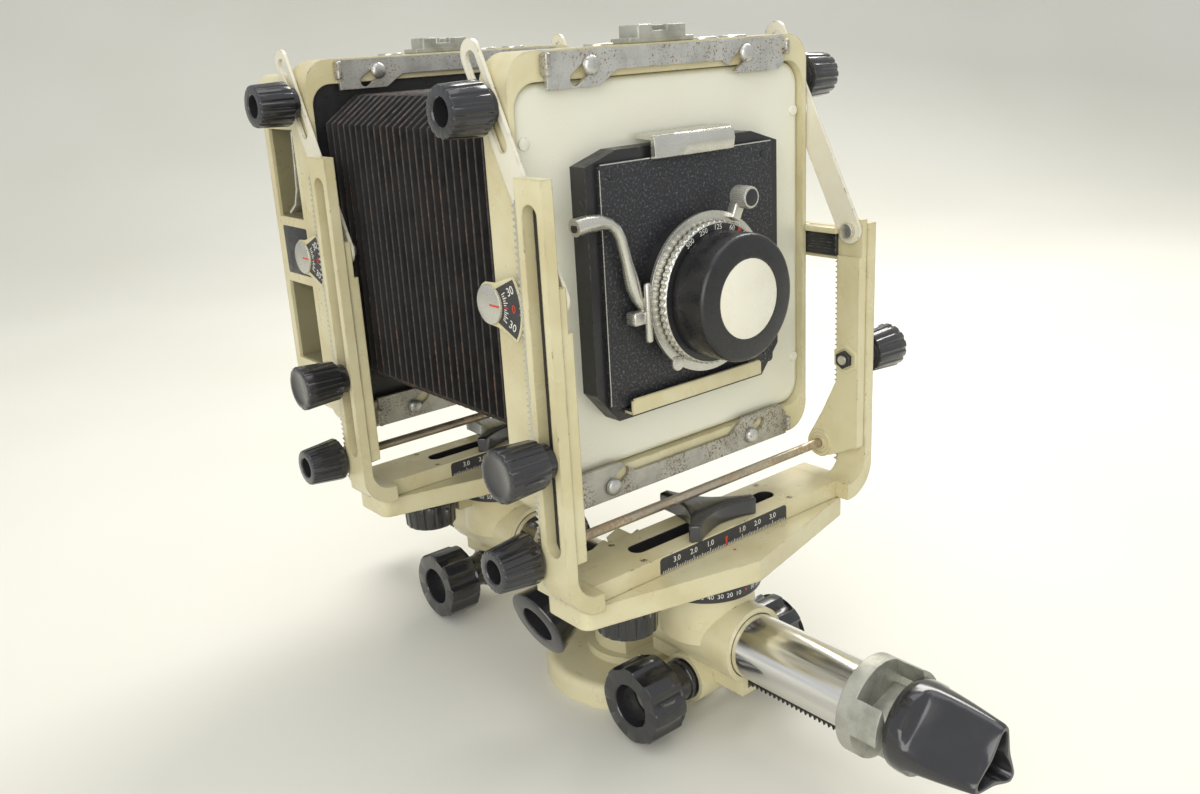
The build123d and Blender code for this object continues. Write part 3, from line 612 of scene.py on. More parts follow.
def slider_knobs(side):
    shape = Shape()
    for way in (-1, 1):
        place = outward(way, 97.5, *SLIDER_LOCK)
        shape.add(fluted(9.6, 10.6, 18.5, 14, 0, 0, 0.6, 0.45), place)
        shape.add(plain([(7, -4.1), (7, 0.2), (5, 0.4)]), place)
        shape.add(plain([(2.2, -18), (2.2, 0)], 20), place, 1)
        nut = plate(arc(4.3, 0, 300, 5), 2.4, 0.3)
        shape.add(nut, raised(place, -17.4), 2)
    shape.piece(f"{side}_rise_locks", side, f"{side}_rise_lock", [BLACK, SILVER, SATIN], "black_bakelite",
                [f"{side}_slider_knobs"])


def slider_bosses(side):
    """Hexagonal bosses behind the lock nuts and ring bosses where the cross rod leaves the sliders."""
    shape = Shape()
    for way in (-1, 1):
        shape.add(hexagon_ring(5.0, 7.4, 0.6), outward(way, 82.1, *SLIDER_LOCK))
        ring = [(2.4, 0), (2.4, -0.4), (3.3, -0.4), (3.4, 0.3), (5.0, 0.4), (5.4, -0.2),
                (6.6, -0.2), (6.9, 1.8)]
        shape.add(plain(ring), outward(way, 81.6, *CROSS_ROD))
    shape.piece(f"{side}_slider_bosses", side, f"{side}_rise", [CREAM], "cream_enamel")


def hexagon_ring(hole, across, thickness):
    """Hexagonal ring along +Z."""
    profile = ((across, thickness), (across, 0.3), (across - 0.4, 0), (hole + 0.4, 0), (hole, 0.4),
               (hole, thickness))
    points = []
    for radius, height in profile:
        for i in range(6):
            a = math.pi / 3 * i
            points.append((radius * math.cos(a), radius * math.sin(a), height))
    return points, joined(len(profile), 6)


def rise_knob(side):
    place = outward(-1, 94.2, *CROSS_ROD)
    shape = Shape().add(fluted(10.6, 8.9, 18, 20, 4.9, 11, 0.5), place)
    shape.add(button(4.4, 1.0), raised(place, 7.1), 1)
    shape.piece(f"{side}_rise_wheel", side, f"{side}_rise_drive", [BLACK, SILVER], "black_bakelite",
                [f"{side}_rise_knob"])


def swing_knob(side):
    place = axes((-45, 17, -15.6), (1, 0, 0), (0, -1, 0))
    shape = Shape().add(fluted(13.9, 13.5, 13, 18, 0, 0, 0.7, 0.5), place)
    shape.add(plain([(2.5, -4), (2.5, 0.2)], 20), place, 1)
    shape.piece(f"{side}_swing_clamp", side, f"{side}_swing_lock", [BLACK, SILVER], "black_bakelite",
                [f"{side}_swing_knob"])


def clamp_knob():
    tilt = math.radians(20)
    along = (-math.cos(tilt), 0, -math.sin(tilt))
    away = (-math.sin(tilt), 0, math.cos(tilt))
    start = Vector((0, 0, RAIL_Z)) + Vector(away) * 21.3 + Vector(along) * 35
    place = axes(start, away, Vector(along).cross(Vector(away)))
    shape = Shape().add(turned(knob_profile(12, 17.4, 20, 9.4, 12), 96), place)
    shape.add(plain([(6.5, -21), (6.5, 0.3)]), place)
    shape.add(plain([(3, -50), (3, 0.3)], 24), place, 1)
    shape.piece("rail_clamp_knob", "camera", "clamp_lock", [BLACK, SILVER], "black_bakelite", ["clamp_knob"])


def shift_lever(side):
    """Lever with three narrow wings and hollow sides between them."""
    wing = ((8.6, -60), (9.0, -46), (11, -29), (15, -15), (20, -8.6), (23.6, -6.6), (24.2, -5.2),
            (24.2, 5.2), (23.6, 6.6), (20, 8.6), (15, 15), (11, 29), (9.0, 46))
    outline = []
    for angle in (-24, 96, 216):
        for reach, half in wing:
            a = math.radians(angle + half)
            outline.append((reach * math.cos(a), reach * math.sin(a)))
    shape = Shape().add(plate(outline, 7.6, 1.0, 3), Matrix.Translation((0, SWING_Y, 9.0)))
    shape.piece(f"{side}_shift_wing", side, f"{side}_shift_lock", [BLACK], "black_bakelite",
                [f"{side}_shift_lever"])


def grip_radius(angle, corner, apothem):
    """Radius of a three-sided outline with round corners and slightly hollow sides."""
    off = (math.degrees(angle) - 15 + 60) % 120 - 60
    side = apothem / math.cos(math.radians(off)) - 0.9 * (1 - (off / 60) ** 2)
    softness = 0.7
    return -softness * math.log(math.exp(-corner / softness) + math.exp(-side / softness))


def end_grip():
    """Hollow three-cornered grip: a round collar, three sunk sides and a triangular open end."""
    _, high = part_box("end_grip")
    length, segments = 38.0, 144
    place = axes((0, high.y / MM, RAIL_Z), (1, 0, 0), (0, 0, 1))
    sections = [(0.0, 17.9, 40, 0), (0.02, 18.6, 40, 0), (0.10, 19.0, 40, 0), (0.19, 18.9, 40, 0),
                (0.22, 18.8, 17.2, 0), (0.25, 18.7, 14.6, 0), (0.30, 18.6, 13.6, 0), (0.45, 18.2, 12.6, 0),
                (0.60, 17.6, 11.7, 0), (0.75, 16.9, 10.8, 0), (0.88, 16.2, 10.0, 0), (0.97, 15.7, 9.5, 0),
                (1.0, 15.7, 9.5, 0.7), (1.0, 15.7, 9.5, 2.2), (0.98, 15.7, 9.5, 2.8), (0.4, 15.7, 9.5, 3.6),
                (0.4, 15.7, 9.5, 7.5)]
    points = []
    for share, corner, apothem, inset in sections:
        for i in range(segments):
            a = 2 * math.pi * i / segments
            r = max(grip_radius(a, corner, apothem) - inset, 0.4)
            points.append((r * math.cos(a), r * math.sin(a), share * length))
    faces = joined(len(sections), segments) + lids(len(sections), segments)
    shape = Shape().add((points, faces), place)
    shape.piece("rail_end_grip", "camera", "grip", [BLACK], "black_bakelite", ["end_grip"], 50)


# ---- bellows ---------------------------------------------------------------------------
def bellows():
    """Pleated bellows between the two frames, built as fixed sections of pleats."""
    pleats = [4, 2, 2, 4, 1, 1, 4, 2, 2, 4]
    front = HERE["front"].translation.y / MM + 41.5
    rear = HERE["rear"].translation.y / MM + 27.5
    pitch = (rear - front) / sum(pleats)
    base = HERE["front"].translation.z / MM
    low, high, half = base + 54, base + 197, 74.0
    fold, cut_x, cut_z = 8.5, 17.0, 12.0
    pleat = ((0.0, 1.0, 0.0), (0.40, 0.05, 0.8), (0.5, 0.0, 1.0), (0.60, 0.05, 0.8))
    start = front
    for index, count in enumerate(pleats):
        rings = []
        for k in range(count):
            for share, inner, wear in pleat:
                rings.append((start + (k + share) * pitch, inner, wear))
        rings.append((start + count * pitch, 1.0, 0.0))
        points, wears = [], []
        for y, inner, wear in rings:
            inset = fold * inner
            ring = pleat_ring(half - inset, low + inset, high - inset, cut_x, cut_z)
            points += [(x, y, z) for x, z in ring]
            wears += [wear] * len(ring)
        shape = Shape().add((points, joined(len(rings), len(ring))))
        name = f"bellows_{index + 1}"
        made = shape.piece(name, "camera", None, [CLOTH], "bellows_cloth", ["bellows"], 30)
        attribute = made.data.attributes.new("wear", "FLOAT", "POINT")
        attribute.data.foreach_set("value", wears)
        end = start + count * pitch
        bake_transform(made)
        start = end


def pleat_ring(half, low, high, cut_x, cut_z):
    """Octagonal outline of one fold in X and Z, with points along each side."""
    corners = [(half, low + cut_z), (half, high - cut_z), (half - cut_x, high), (cut_x - half, high),
               (-half, high - cut_z), (-half, low + cut_z), (cut_x - half, low), (half - cut_x, low)]
    ring = []
    for i, (x, z) in enumerate(corners):
        nx, nz = corners[(i + 1) % 8]
        steps = 4 if abs(nx - x) + abs(nz - z) > 60 else 1
        ring += [(x + (nx - x) * t / steps, z + (nz - z) * t / steps) for t in range(steps)]
    return ring


# ---- boards and lens ---------------------------------------------------------------------
def pillow(half_x, low, high, radius, thickness, rise):
    """Pressed board: rounded outline whose face swells from its rim, along +Z."""
    outline = rounded_outline(-half_x, half_x, low, high, radius, 8)
    middle, half_y = (low + high) / 2, (high - low) / 2
    swell, steps = 4.0, 10
    rings = [(0.0, 0.0)]
    for k in range(steps + 1):
        a = math.pi / 2 * k / steps
        rings.append((swell * (1 - math.cos(a)), thickness + rise * math.sin(a)))
    points = []
    for inset, height in rings:
        for x, y in outline:
            points.append((x * (1 - inset / half_x), middle + (y - middle) * (1 - inset / half_y), height))
    return points, joined(len(rings), len(outline)) + lids(len(rings), len(outline))


def lens_board():
    place = facing_front(0, 30.5, 0)
    shape = Shape().add(pillow(79, 43.5, 202.4, 10, 1.5, 2.6), place)
    for way in (-1, 1):
        shape.add(button(2.4, 1.0, 0.5, 24), facing_front(way * 75, 26.6, 181))
        shape.add(button(2.4, 1.0, 0.5, 24), facing_front(way * 75, 26.6, 66))
    shape.piece("pearl_lens_board", "front", "front_tilt", [PEARL], "pearl_enamel", ["lens_board"])


def lens_panel():
    """Wrinkle-finished panel with bright worn top and left edges."""
    face = facing_front(0, 17.4, 0)
    shape = Shape().add(plate(rounded_outline(-48.5, 48.5, 72, 171, 2, 4), 2.0, 0.25), face)
    shape.add(mark(-48, 48, 170.6, 171.1, 0.2), facing_front(0, 15.5, 0), 1)
    shape.add(mark(-48.6, -48.2, 74, 169, 0.2), facing_front(0, 15.5, 0), 1)
    for x, z in ((-43, 77), (43, 77), (-43, 166), (43, 166)):
        shape.add(button(1.3, 0.5, 0.2, 20), facing_front(x, 15.5, z))
    shape.piece("wrinkled_panel", "front", "front_tilt", [CRACKLE, SILVER], "black_crackle", ["lens_panel"])


def panel_lip():
    """Cream lip that the panel's lower edge stands in."""
    outline = [(-40.3, 69.2), (36.3, 69.2), (36.3, 74.8), (35.0, 75.8), (-39.0, 75.8), (-40.3, 74.8)]
    shape = Shape().add(plate(outline, 1.3, 0.4), facing_front(0, 12.6, 0))
    shape.add(rounded_box((-40.3, 11.6, 69.0), (36.3, 17.3, 70.2), 0.4))
    shape.piece("panel_lower_lip", "front", "front_tilt", [CREAM], "cream_enamel")


def panel_catch():
    """Folded silver catch over the panel's top edge."""
    half, low, top = 22.0, 170.4, 180.0
    steps = 18
    points = []
    for i in range(steps + 1):
        x = -half + 2 * half * i / steps
        swell = 0.5 - 0.5 * math.cos(math.pi * min(1.0, max(0.0, (x + 12) / 9)))
        profile = [(14.9, low), (12.6, low), (12.2, low + 0.4), (12.4 - 1.0 * swell, low + 4.5),
                   (12.6 - 0.6 * swell, top - 2.2), (13.6, top - 0.6), (15.4, top), (24.0, top),
                   (24.0, top - 2.0), (14.9, top - 2.4)]
        points += [(x, y, z) for y, z in profile]
    ends = [face[::-1] for face in lids(steps + 1, len(profile))]
    shape = Shape().add((points, joined(steps + 1, len(profile)) + ends))
    shape.piece("panel_top_catch", "front", "panel_catch", [SILVER], "bare_steel", ["adapter_latch"])


def shutter():
    """Shutter case, its front barrel and the cable release socket."""
    face = facing_front(0, 15.4, LENS_Z)
    shape = Shape()
    case = [(30.4, 0), (30.4, 8.6), (29.6, 9.4), (24.2, 9.8), (23.6, 10.2), (23.6, 22.8), (23.0, 23.4),
            (19.6, 23.4), (19.0, 22.8), (19.0, 17.4), (17, 16.6), (9, 14.5), (0.5, 13.8)]
    shape.add(plain(case, 128), face)
    shape.add(plain([(17.6, -18), (17.6, 0.3)]), face)
    for text, angle in (("1", 152), ("2", 170), ("4", 188), ("8", 206), ("15", 224)):
        a = math.radians(angle)
        turn = Matrix.Rotation(a - math.pi / 2, 4, "Z")
        spot = Matrix.Translation((26.6 * math.cos(a), 26.6 * math.sin(a), 9.65))
        shape.add(lettering(text, 1.8), face @ spot @ turn, 1)
    shape.add(button(3.1, 1.2, 0.5, 32), facing_front(-20, 6.2, LENS_Z - 26.4), 2)
    shape.piece("shutter_case", "front", "front_tilt", [SATIN, WHITE, SILVER], "black_paint", ["shutter"])
    elbow = ((-66, 150, 3.5), (-60.5, 150.6, 3.4), (-54, 150.4, 3.1), (-49, 149.2, 2.2),
             (-45.6, 146.6, 2.2), (-43.6, 143, 2.2), (-42.2, 138, 2.2), (-40.8, 132.5, 2.3),
             (-39.4, 127, 2.9), (-38.4, 123, 3.1), (-36.5, 118, 2.6), (-33, 113.5, 2.4))
    route = [(x, 10.4, z) for x, z, radius in elbow]
    radii = [radius for x, z, radius in elbow]
    socket = Shape().add(tube(route, radii, 24))
    socket.add(plain([(1.9, -0.2), (1.9, 0.25), (1.2, 0.25)], 24),
               axes((-66, 10.4, 150), (0, 1, 0), (0.1, 0, 1)), 1)
    socket.add(rounded_box((-41, 7.0, 107), (-30.5, 13, 112.5), 1.2))
    socket.add(rounded_box((-35.6, 5.4, 99.4), (-32.4, 8.2, 124), 1.3))
    socket.piece("cable_release_socket", "front", "front_tilt", [SILVER, SATIN], "bare_steel")


def speed_ring():
    """Silver grip ring with coarse serrations around a black face with speeds."""
    face = facing_front(0, 5.3, LENS_Z)
    rim = [(29.4, 0, 1), (29.8, 0.4, 1), (29.8, 2.8, 1), (29.3, 3.4, 0.2), (28.8, 3.7, 0), (28.5, 3.3, 0)]
    shape = Shape().add(turned(rim, 60 * 6, grooves(60, 0.6, 0.55)), face)
    shape.add(plain([(28.6, 3.0), (28.6, 3.55), (24.0, 3.75), (23.9, 3.0)], 96), face, 1)
    speeds = ("B", "1", "2", "4", "8", "15", "30", "60", "125", "250", "500")
    for index, text in enumerate(speeds):
        a = math.radians(-52 + 17.5 * index)
        turn = Matrix.Rotation(a - math.pi / 2, 4, "Z")
        spot = Matrix.Translation((27.2 * math.cos(a), 27.2 * math.sin(a), 3.6))
        shape.add(lettering(text, 2.2), face @ spot @ turn, 2)
    a = math.radians(62)
    arrow = plate([(25.6, 0), (28.2, -1.0), (28.2, 1.0)], 0.5, 0.05, 1)
    shape.add(arrow, face @ Matrix.Rotation(a, 4, "Z") @ Matrix.Translation((0, 0, 3.7)), 3)
    looks = [SILVER, SATIN, WHITE, RED]
    shape.piece("speed_grip_ring", "front", "speed", looks, "bare_steel", ["speed_ring"])


def cocking_lever():
    face = facing_front(0, 5.3, LENS_Z) @ Matrix.Rotation(math.radians(65), 4, "Z")
    shape = Shape().add(rounded_box((31.0, -2.6, -2.2), (42, 2.6, 2.4), 0.8), face)
    button_place = face @ Matrix.Translation((41, 0, -1))
    knob = [(4.6, 0, 0), (4.7, 0.5, 1), (4.7, 7.4, 1), (4.3, 8.1, 0), (3.5, 8.1, 0)]
    shape.add(turned(knob, 144, grooves(36, 0.35, 0.7)), button_place)
    shape.add(plain([(3.5, 7.2), (3.5, 8.2), (3.2, 8.3)], 32), button_place, 1)
    hoop = plain([(32.2, -2.2), (33.4, -2.2), (33.4, -0.6), (32.2, -0.6)], 96)
    shape.add(hoop, face)
    shape.piece("cocking_arm", "front", "cocking", [SILVER, SATIN], "bare_steel", ["cocking_lever"])


def lens_cap():
    face = facing_front(0, 1.2, LENS_Z)
    shell = [(24.0, 0), (25.8, 0), (26.2, 0.5), (26.2, 14.6), (25.8, 15.9), (25.0, 16.7), (24.0, 17.0),
             (16.8, 17.2), (16.4, 16.9), (0.5, 16.9)]
    shape = Shape().add(plain(shell, 128), face)
    shape.add(plain([(16.3, 16.2), (16.3, 17.1), (16.0, 17.3), (0.4, 17.35)], 128), face, 1)
    shape.piece("push_on_cap", "front", "cap", [matt_black("cap_black", 0.014, 0.3), DISC], "black_bakelite",
                ["lens_cap"])


# ---- scales -----------------------------------------------------------------------------
def shift_scale(side):
    """Centimetre scale on the front edge of the shift plate."""
    face = facing_front(0, 0.05, 0)
    width, low, high = 39.5, 0.6, 7.7
    outline = [(width, low), (width, high - 1.6)] + arc(1.6, 0, 90, 5, (width - 1.6, high - 1.6))[1:]
    outline += arc(1.6, 90, 180, 5, (1.6 - width, high - 1.6)) + [(-width, low)]
    shape = Shape().add(plate(outline, 0.3, 0.05, 1), face)
    top = raised(face, 0.25)
    for tenth in range(-38, 39):
        length = 2.2 if tenth % 10 == 0 else (1.6 if tenth % 5 == 0 else 1.1)
        if tenth:
            shape.add(mark(tenth - 0.13, tenth + 0.13, low, low + length, 0.1), top, 1)
    for value in (-30, -20, -10, 10, 20, 30):
        text = f"{abs(value) / 10:.1f}"
        shape.add(lettering(text, 2.5, 0.1), top @ Matrix.Translation((value, 5.0, 0.05)), 1)
    wedge = [(-0.25, low + 0.2), (0.25, low + 0.2), (0.75, 5.0), (-0.75, 5.0)]
    shape.add(plate(wedge, 0.12, 0.02, 1), top, 2)
    shape.piece(f"{side}_shift_scale", side, f"{side}_shift", [DIAL, WHITE, RED], "black_paint")
    dots = Shape()
    dots.add(button(0.7, 0.12, 0.03, 16), axes((0.6, -4.6, -0.15), (1, 0, 0), (0, 1, 0)))
    dots.add(button(0.7, 0.12, 0.03, 16), facing_front(0, -19.0, -7.0))
    dots.piece(f"{side}_index_dots", side, f"{side}_swing", [RED], "black_paint")


def swing_scale(side):
    """Degree marks and numbers around the swing ring."""
    radius, low = 25.0, -19.4
    shape = Shape()
    for degree in range(-60, 61, 2):
        angle = math.radians(degree - 90)
        place = Matrix.Translation((0, SWING_Y, 0)) @ Matrix.Rotation(angle, 4, "Z")
        place = place @ axes((radius - 0.02, 0, 0), (0, 1, 0), (0, 0, 1))
        tall = 2.2 if degree % 10 == 0 else 1.2
        look = 1 if degree == 0 else 0
        shape.add(mark(-0.1, 0.1, -11.2 - tall, -11.2, 0.08), place, look)
        if degree % 10 == 0 and degree:
            spot = place @ Matrix.Translation((0, low + 2.3, 0.05))
            shape.add(lettering(f"{abs(degree)}", 2.1, 0.12), spot)
    dot = axes((0, SWING_Y - radius + 0.05, -16.6), (1, 0, 0), (0, 0, 1))
    shape.add(button(0.6, 0.12, 0.03, 16), dot, 1)
    shape.piece(f"{side}_degree_scale", side, f"{side}_carriage", [WHITE, RED], "black_paint")


def tilt_dial(side):
    """Fan-shaped tilt scale beside a silver disc with a red pointer, on the left trunnion."""
    forward, upward = (0, -1, 0), (0, 0, 1)
    arm = axes((-87.75, *TRUNNION), forward, upward)
    backing = [(-3, -8.4), (3, -8.8)] + arc(20.6, -39, 39, 12)
    backing += [(3, 8.8), (-3, 8.4)] + arc(9.0, 110, 250, 10)
    shape = Shape().add(plate(backing, 0.5, 0.15, 1), arm, 3)
    place = raised(arm, 0.35)
    fan = [(4, -6.5)] + arc(19.4, -36.5, 36.5, 12) + [(4, 6.5)]
    shape.add(plate(fan, 0.5, 0.15, 1), place)
    top = raised(place, 0.45)
    for degree in range(-30, 31, 5):
        turn = Matrix.Rotation(math.radians(degree), 4, "Z")
        length = 2.6 if degree % 10 == 0 else 1.5
        shape.add(mark(9.4, 9.4 + length, -0.18, 0.18, 0.1), top @ turn, 2 if degree == 0 else 1)
    for text, degree in (("30", 26), ("0", 0), ("30", -26)):
        turn = Matrix.Rotation(math.radians(degree), 4, "Z")
        spot = top @ turn @ Matrix.Translation((15.6, 0, 0.05))
        shape.add(lettering(text, 3.3, 0.1), spot, 2 if degree == 0 else 1)
    shape.piece(f"{side}_tilt_scale", side, f"{side}_rise", [DIAL, WHITE, RED, CREAM], "black_paint")
    disc = Shape().add(button(8.0, 1.9, 0.5), arm)
    disc.add(mark(1.0, 7.4, -0.4, 0.4, 0.12), axes((-89.62, *TRUNNION), forward, upward), 1)
    disc.piece(f"{side}_tilt_pointer", side, f"{side}_tilt", [SILVER, RED], "bare_steel")


# ---- small fittings -----------------------------------------------------------------------
def plate_screws(side):
    """Countersunk screws, and painted shade on the walls of the slot in the shift plate: a thin satin-black
    band.
    """
    shape = Shape()
    for index, (x, y) in enumerate(((-45.5, 3.2), (45.5, 3.2), (-45.5, 24.2), (45.5, 24.2))):
        place = Matrix.Translation((x, y, 6.6)) @ Matrix.Rotation(0.7 + index, 4, "Z")
        shape.add(button(1.45, 1.75, 0.3, 24), place)
        shape.add(mark(-1.3, 1.3, -0.2, 0.2, 0.06), raised(place, 1.73), 1)
    # Satin-black band on the slot's walls: painted shade for the dark inside of the slot.
    points = []
    reach, half = 40, 4.18
    outline = arc(half, -90, 90, 12, (reach, SWING_Y)) + arc(half, 90, 270, 12, (-reach, SWING_Y))
    slot_wall_shade = ((0, 0.2), (0, 8.3), (0.2, 8.3), (0.2, 0.2))
    for inset, z in slot_wall_shade:
        along, across = 1 - inset / 44.2, 1 - inset / half
        points += [(x * along, SWING_Y + (y - SWING_Y) * across, z) for x, y in outline]
    shape.add((points, joined(len(slot_wall_shade), len(outline), closed=True)), None, 1)
    shape.piece(f"{side}_plate_screws", side, f"{side}_shift", [ROD, SATIN], "bare_steel")


def slot_shade_and_strips(side):
    """Painted shade in the uprights' slots: a dark backing sheet, with a steel strip down the middle."""
    shape = Shape()
    y = SLIDER_LOCK[0]
    for way, top in ((-1, 163), (1, 122)):
        # The wide satin-black sheet is painted shade for the dark gap of the slot; the narrow one is the
        # steel strip.
        for half, z0, z1, reach, look in ((4.38, 27.05, top - 0.05, 88.15, 1),
                                          (1.5, 29, top - 2, 88.9, 0)):
            x0, x1 = sorted((way * 88.02, way * reach))
            shape.add(rounded_box((x0, y - half, z0), (x1, y + half, z1), 0.05, 1), None, look)
    shape.piece(f"{side}_slot_shade_and_strips", side, f"{side}_shift", [SILVER, SATIN], "bare_steel")


def accessory_shoe(side):
    """Grey accessory shoe and three round caps on top of the frame."""
    shape = Shape()
    z = 214.0
    shape.add(rounded_box((-18, 29, z), (17, 41, z + 2.2), 0.5))
    shape.add(rounded_box((-13.5, 29, z + 1.5), (-5.5, 41, z + 7.2), 0.7))
    for y in (29, 38.4):
        shape.add(rounded_box((-6, y, z + 1.5), (12.5, y + 2.6, z + 4.6), 0.4))
        shape.add(rounded_box((2, y, z + 4.2), (12.5, y + 2.6, z + 6.8), 0.4))
    for x in (-30, 27, 45):
        shape.add(button(6.0, 1.0, 0.4), Matrix.Translation((x, 34, z - 0.1)), 1)
    shape.piece(f"{side}_accessory_shoe", side, f"{side}_tilt", [CAST, SILVER], "cast_aluminium")


def latch_fittings(side):
    """Folded tabs on the ends of the sliding latches."""
    for name, z0, z1 in (("top", 204.5, 213.0), ("bottom", 31.0, 40.0)):
        shape = Shape()
        shape.add(rounded_box((-67.2, 19.4, z0), (-64.6, 24.0, z1), 0.9))
        shape.add(rounded_box((64.4, 20.4, z0 + 1), (66.8, 24.0, z1 - 1), 0.9))
        shape.piece(f"{side}_{name}_latch_tabs", side, f"{side}_{name}_catch", [CRAZED], "bare_steel")


def bolt_heads(side):
    """Domed heads of the four latch bolts."""
    shape = Shape()
    dome = [(3.6, 0), (3.75, 0.3), (3.75, 1.4), (3.3, 2.0), (2.4, 2.5), (1.3, 2.75), (0.3, 2.8)]
    for x, z in ((-44.6, 207.4), (40.2, 207.4), (-44.6, 36.0), (40.2, 36.0)):
        shape.add(plain(dome, 40), facing_front(x, 22.2, z))
    shape.piece(f"{side}_latch_bolts", side, f"{side}_tilt", [LATCH], "bare_steel")


def arm_pads(side):
    """Grooved black bearing pads on the inner faces of the trunnion arms."""
    shape = Shape()
    for way in (-1, 1):
        def box(x0, x1, y0, y1, z0, z1, radius, look):
            low, high = sorted((way * x0, way * x1))
            shape.add(rounded_box((low, y0, z0), (high, y1, z1), radius), None, look)
        box(82.5, 84.4, 7.0, 33.0, 115.4, 126.2, 0.5, 0)
        for z in (118.0, 120.8, 123.6):
            box(82.2, 82.8, 7.4, 32.6, z - 0.7, z + 0.7, 0.25, 0)
        box(79.6, 84.4, 5.0, 23.5, 126.2, 128.9, 0.5, 1)
        box(82.3, 84.4, 23.0, 34.0, 126.2, 128.9, 0.5, 1)
    shape.piece(f"{side}_arm_pads", side, f"{side}_rise", [SATIN, CREAM], "black_paint")


def strut_rivets(side):
    """Rivets at the struts' lower ends."""
    shape = Shape()
    for way in (-1, 1):
        shape.add(button(3.5, 1.1, 0.5, 32), outward(-way, -81.2, 0.0, 128.0))
    shape.piece(f"{side}_strut_rivets", side, f"{side}_rise", [SILVER], "bare_steel")


def back_details():
    """Focusing back: black slide blocks, thin olive plates in the side pockets as painted shade, spring
    levers and the glass holder.
    """
    shape = Shape()
    for way in (-1, 1):
        x0, x1 = sorted((way * 81.3, way * 74))
        shape.add(rounded_box((x0, 46, 108), (x1, 74, 134), 1.5))
        # Thin olive plates on the pockets' floors, ends and sides: painted shade for the shadowed pocket
        # interiors.
        for low, high in ((62.3, 103.7), (138.3, 181.7)):
            x0, x1 = sorted((way * 67.9, way * 68.3))
            shape.add(rounded_box((x0, 48.3, low), (x1, 74.7, high), 0.1, 1), None, 1)
            for z in (low, high - 0.3):
                x0, x1 = sorted((way * 68.1, way * 79.5))
                shape.add(rounded_box((x0, 48.3, z), (x1, 74.7, z + 0.3), 0.1, 1), None, 1)
            for y in (48.1, 74.6):
                shape.add(rounded_box((x0, y, low), (x1, y + 0.3, high), 0.1, 1), None, 1)
    shape.piece("back_slide_blocks", "rear", "rear_tilt", [SATIN, POCKET_SHADE], "black_paint")
    levers = Shape()
    spring = ((49.6, 181), (51.0, 166), (52.4, 153), (56, 145), (63, 140.6))
    for way in (-1, 1):
        for start, end in zip(spring, spring[1:]):
            run = Vector((0, end[0] - start[0], end[1] - start[1]))
            thick = run.normalized().cross(Vector((1, 0, 0)))
            place = axes((way * 76.5, *start), (1, 0, 0), thick)
            levers.add(rounded_box((-4.4, -0.7, -0.4), (4.4, 0.7, run.length + 0.4), 0.4, 2), place)
    levers.piece("back_spring_levers", "rear", "rear_tilt", [SILVER], "bare_steel")
    holder = Shape()
    rear = 80.0
    for x0, x1, z0, z1 in ((-62.5, 62.5, 166.5, 172.5), (-62.5, 62.5, 71.5, 77.5),
                           (-62.5, -56, 77, 167), (56, 62.5, 77, 167)):
        holder.add(rounded_box((x0, rear - 8, z0), (x1, rear - 0.6, z1), 1.2))
    for x, z in ((-59, 75), (59, 75), (-59, 169), (59, 169)):
        place = axes((x, rear - 0.7, z), (-1, 0, 0), (0, 0, 1))
        holder.add(button(1.8, 0.8, 0.3, 24), place, 1)
    holder.piece("glass_holder", "rear", "focusing_screen", [SATIN, SILVER], "black_paint")
    pane = Shape().add(rounded_box((-57, rear - 6.4, 76.5), (57, rear - 4.4, 167.5), 0.3, 1))
    for x in range(-50, 51, 10):
        pane.add(rounded_box((x - 0.08, rear - 4.42, 78), (x + 0.08, rear - 4.34, 166), 0.02, 1), None, 1)
    for z in range(82, 165, 10):
        pane.add(rounded_box((-55, rear - 4.42, z - 0.08), (55, rear - 4.34, z + 0.08), 0.02, 1), None, 1)
    pane.piece("focusing_glass", "rear", "focusing_screen", [GLASS, DIAL], "ground_glass", ["ground_glass"])


# ---- finishes of the CAD pieces ---------------------------------------------------------
FINISH = {
    "base_disc": CREAM, "clamp_block": CREAM, "rail": CHROME, "end_collar": CAST,
    "board_adapter": SATIN, "bellows_board": SATIN, "back_frame": CREAM,
    "carriage": CREAM, "focus_pinion": SILVER, "swing_ring": RING, "swing_plate": CREAM,
    "shift_plate": CREAM, "upright_left": CREAM, "upright_right": CREAM, "rise_racks": SILVER,
    "slider_left": CREAM, "slider_right": CREAM, "rise_rod": ROD, "frame": CREAM,
    "tilt_struts": STRUT, "latch_top": LATCH, "latch_bottom": CRAZED,
}


def finish_cad():
    """Gives every CAD piece that stays visible its material."""
    for name, node in NODES.items():
        look = FINISH.get(name) or FINISH.get(name.partition("_")[2])
        if look is None:
            continue
        node.data.materials.clear()
        node.data.materials.append(look)


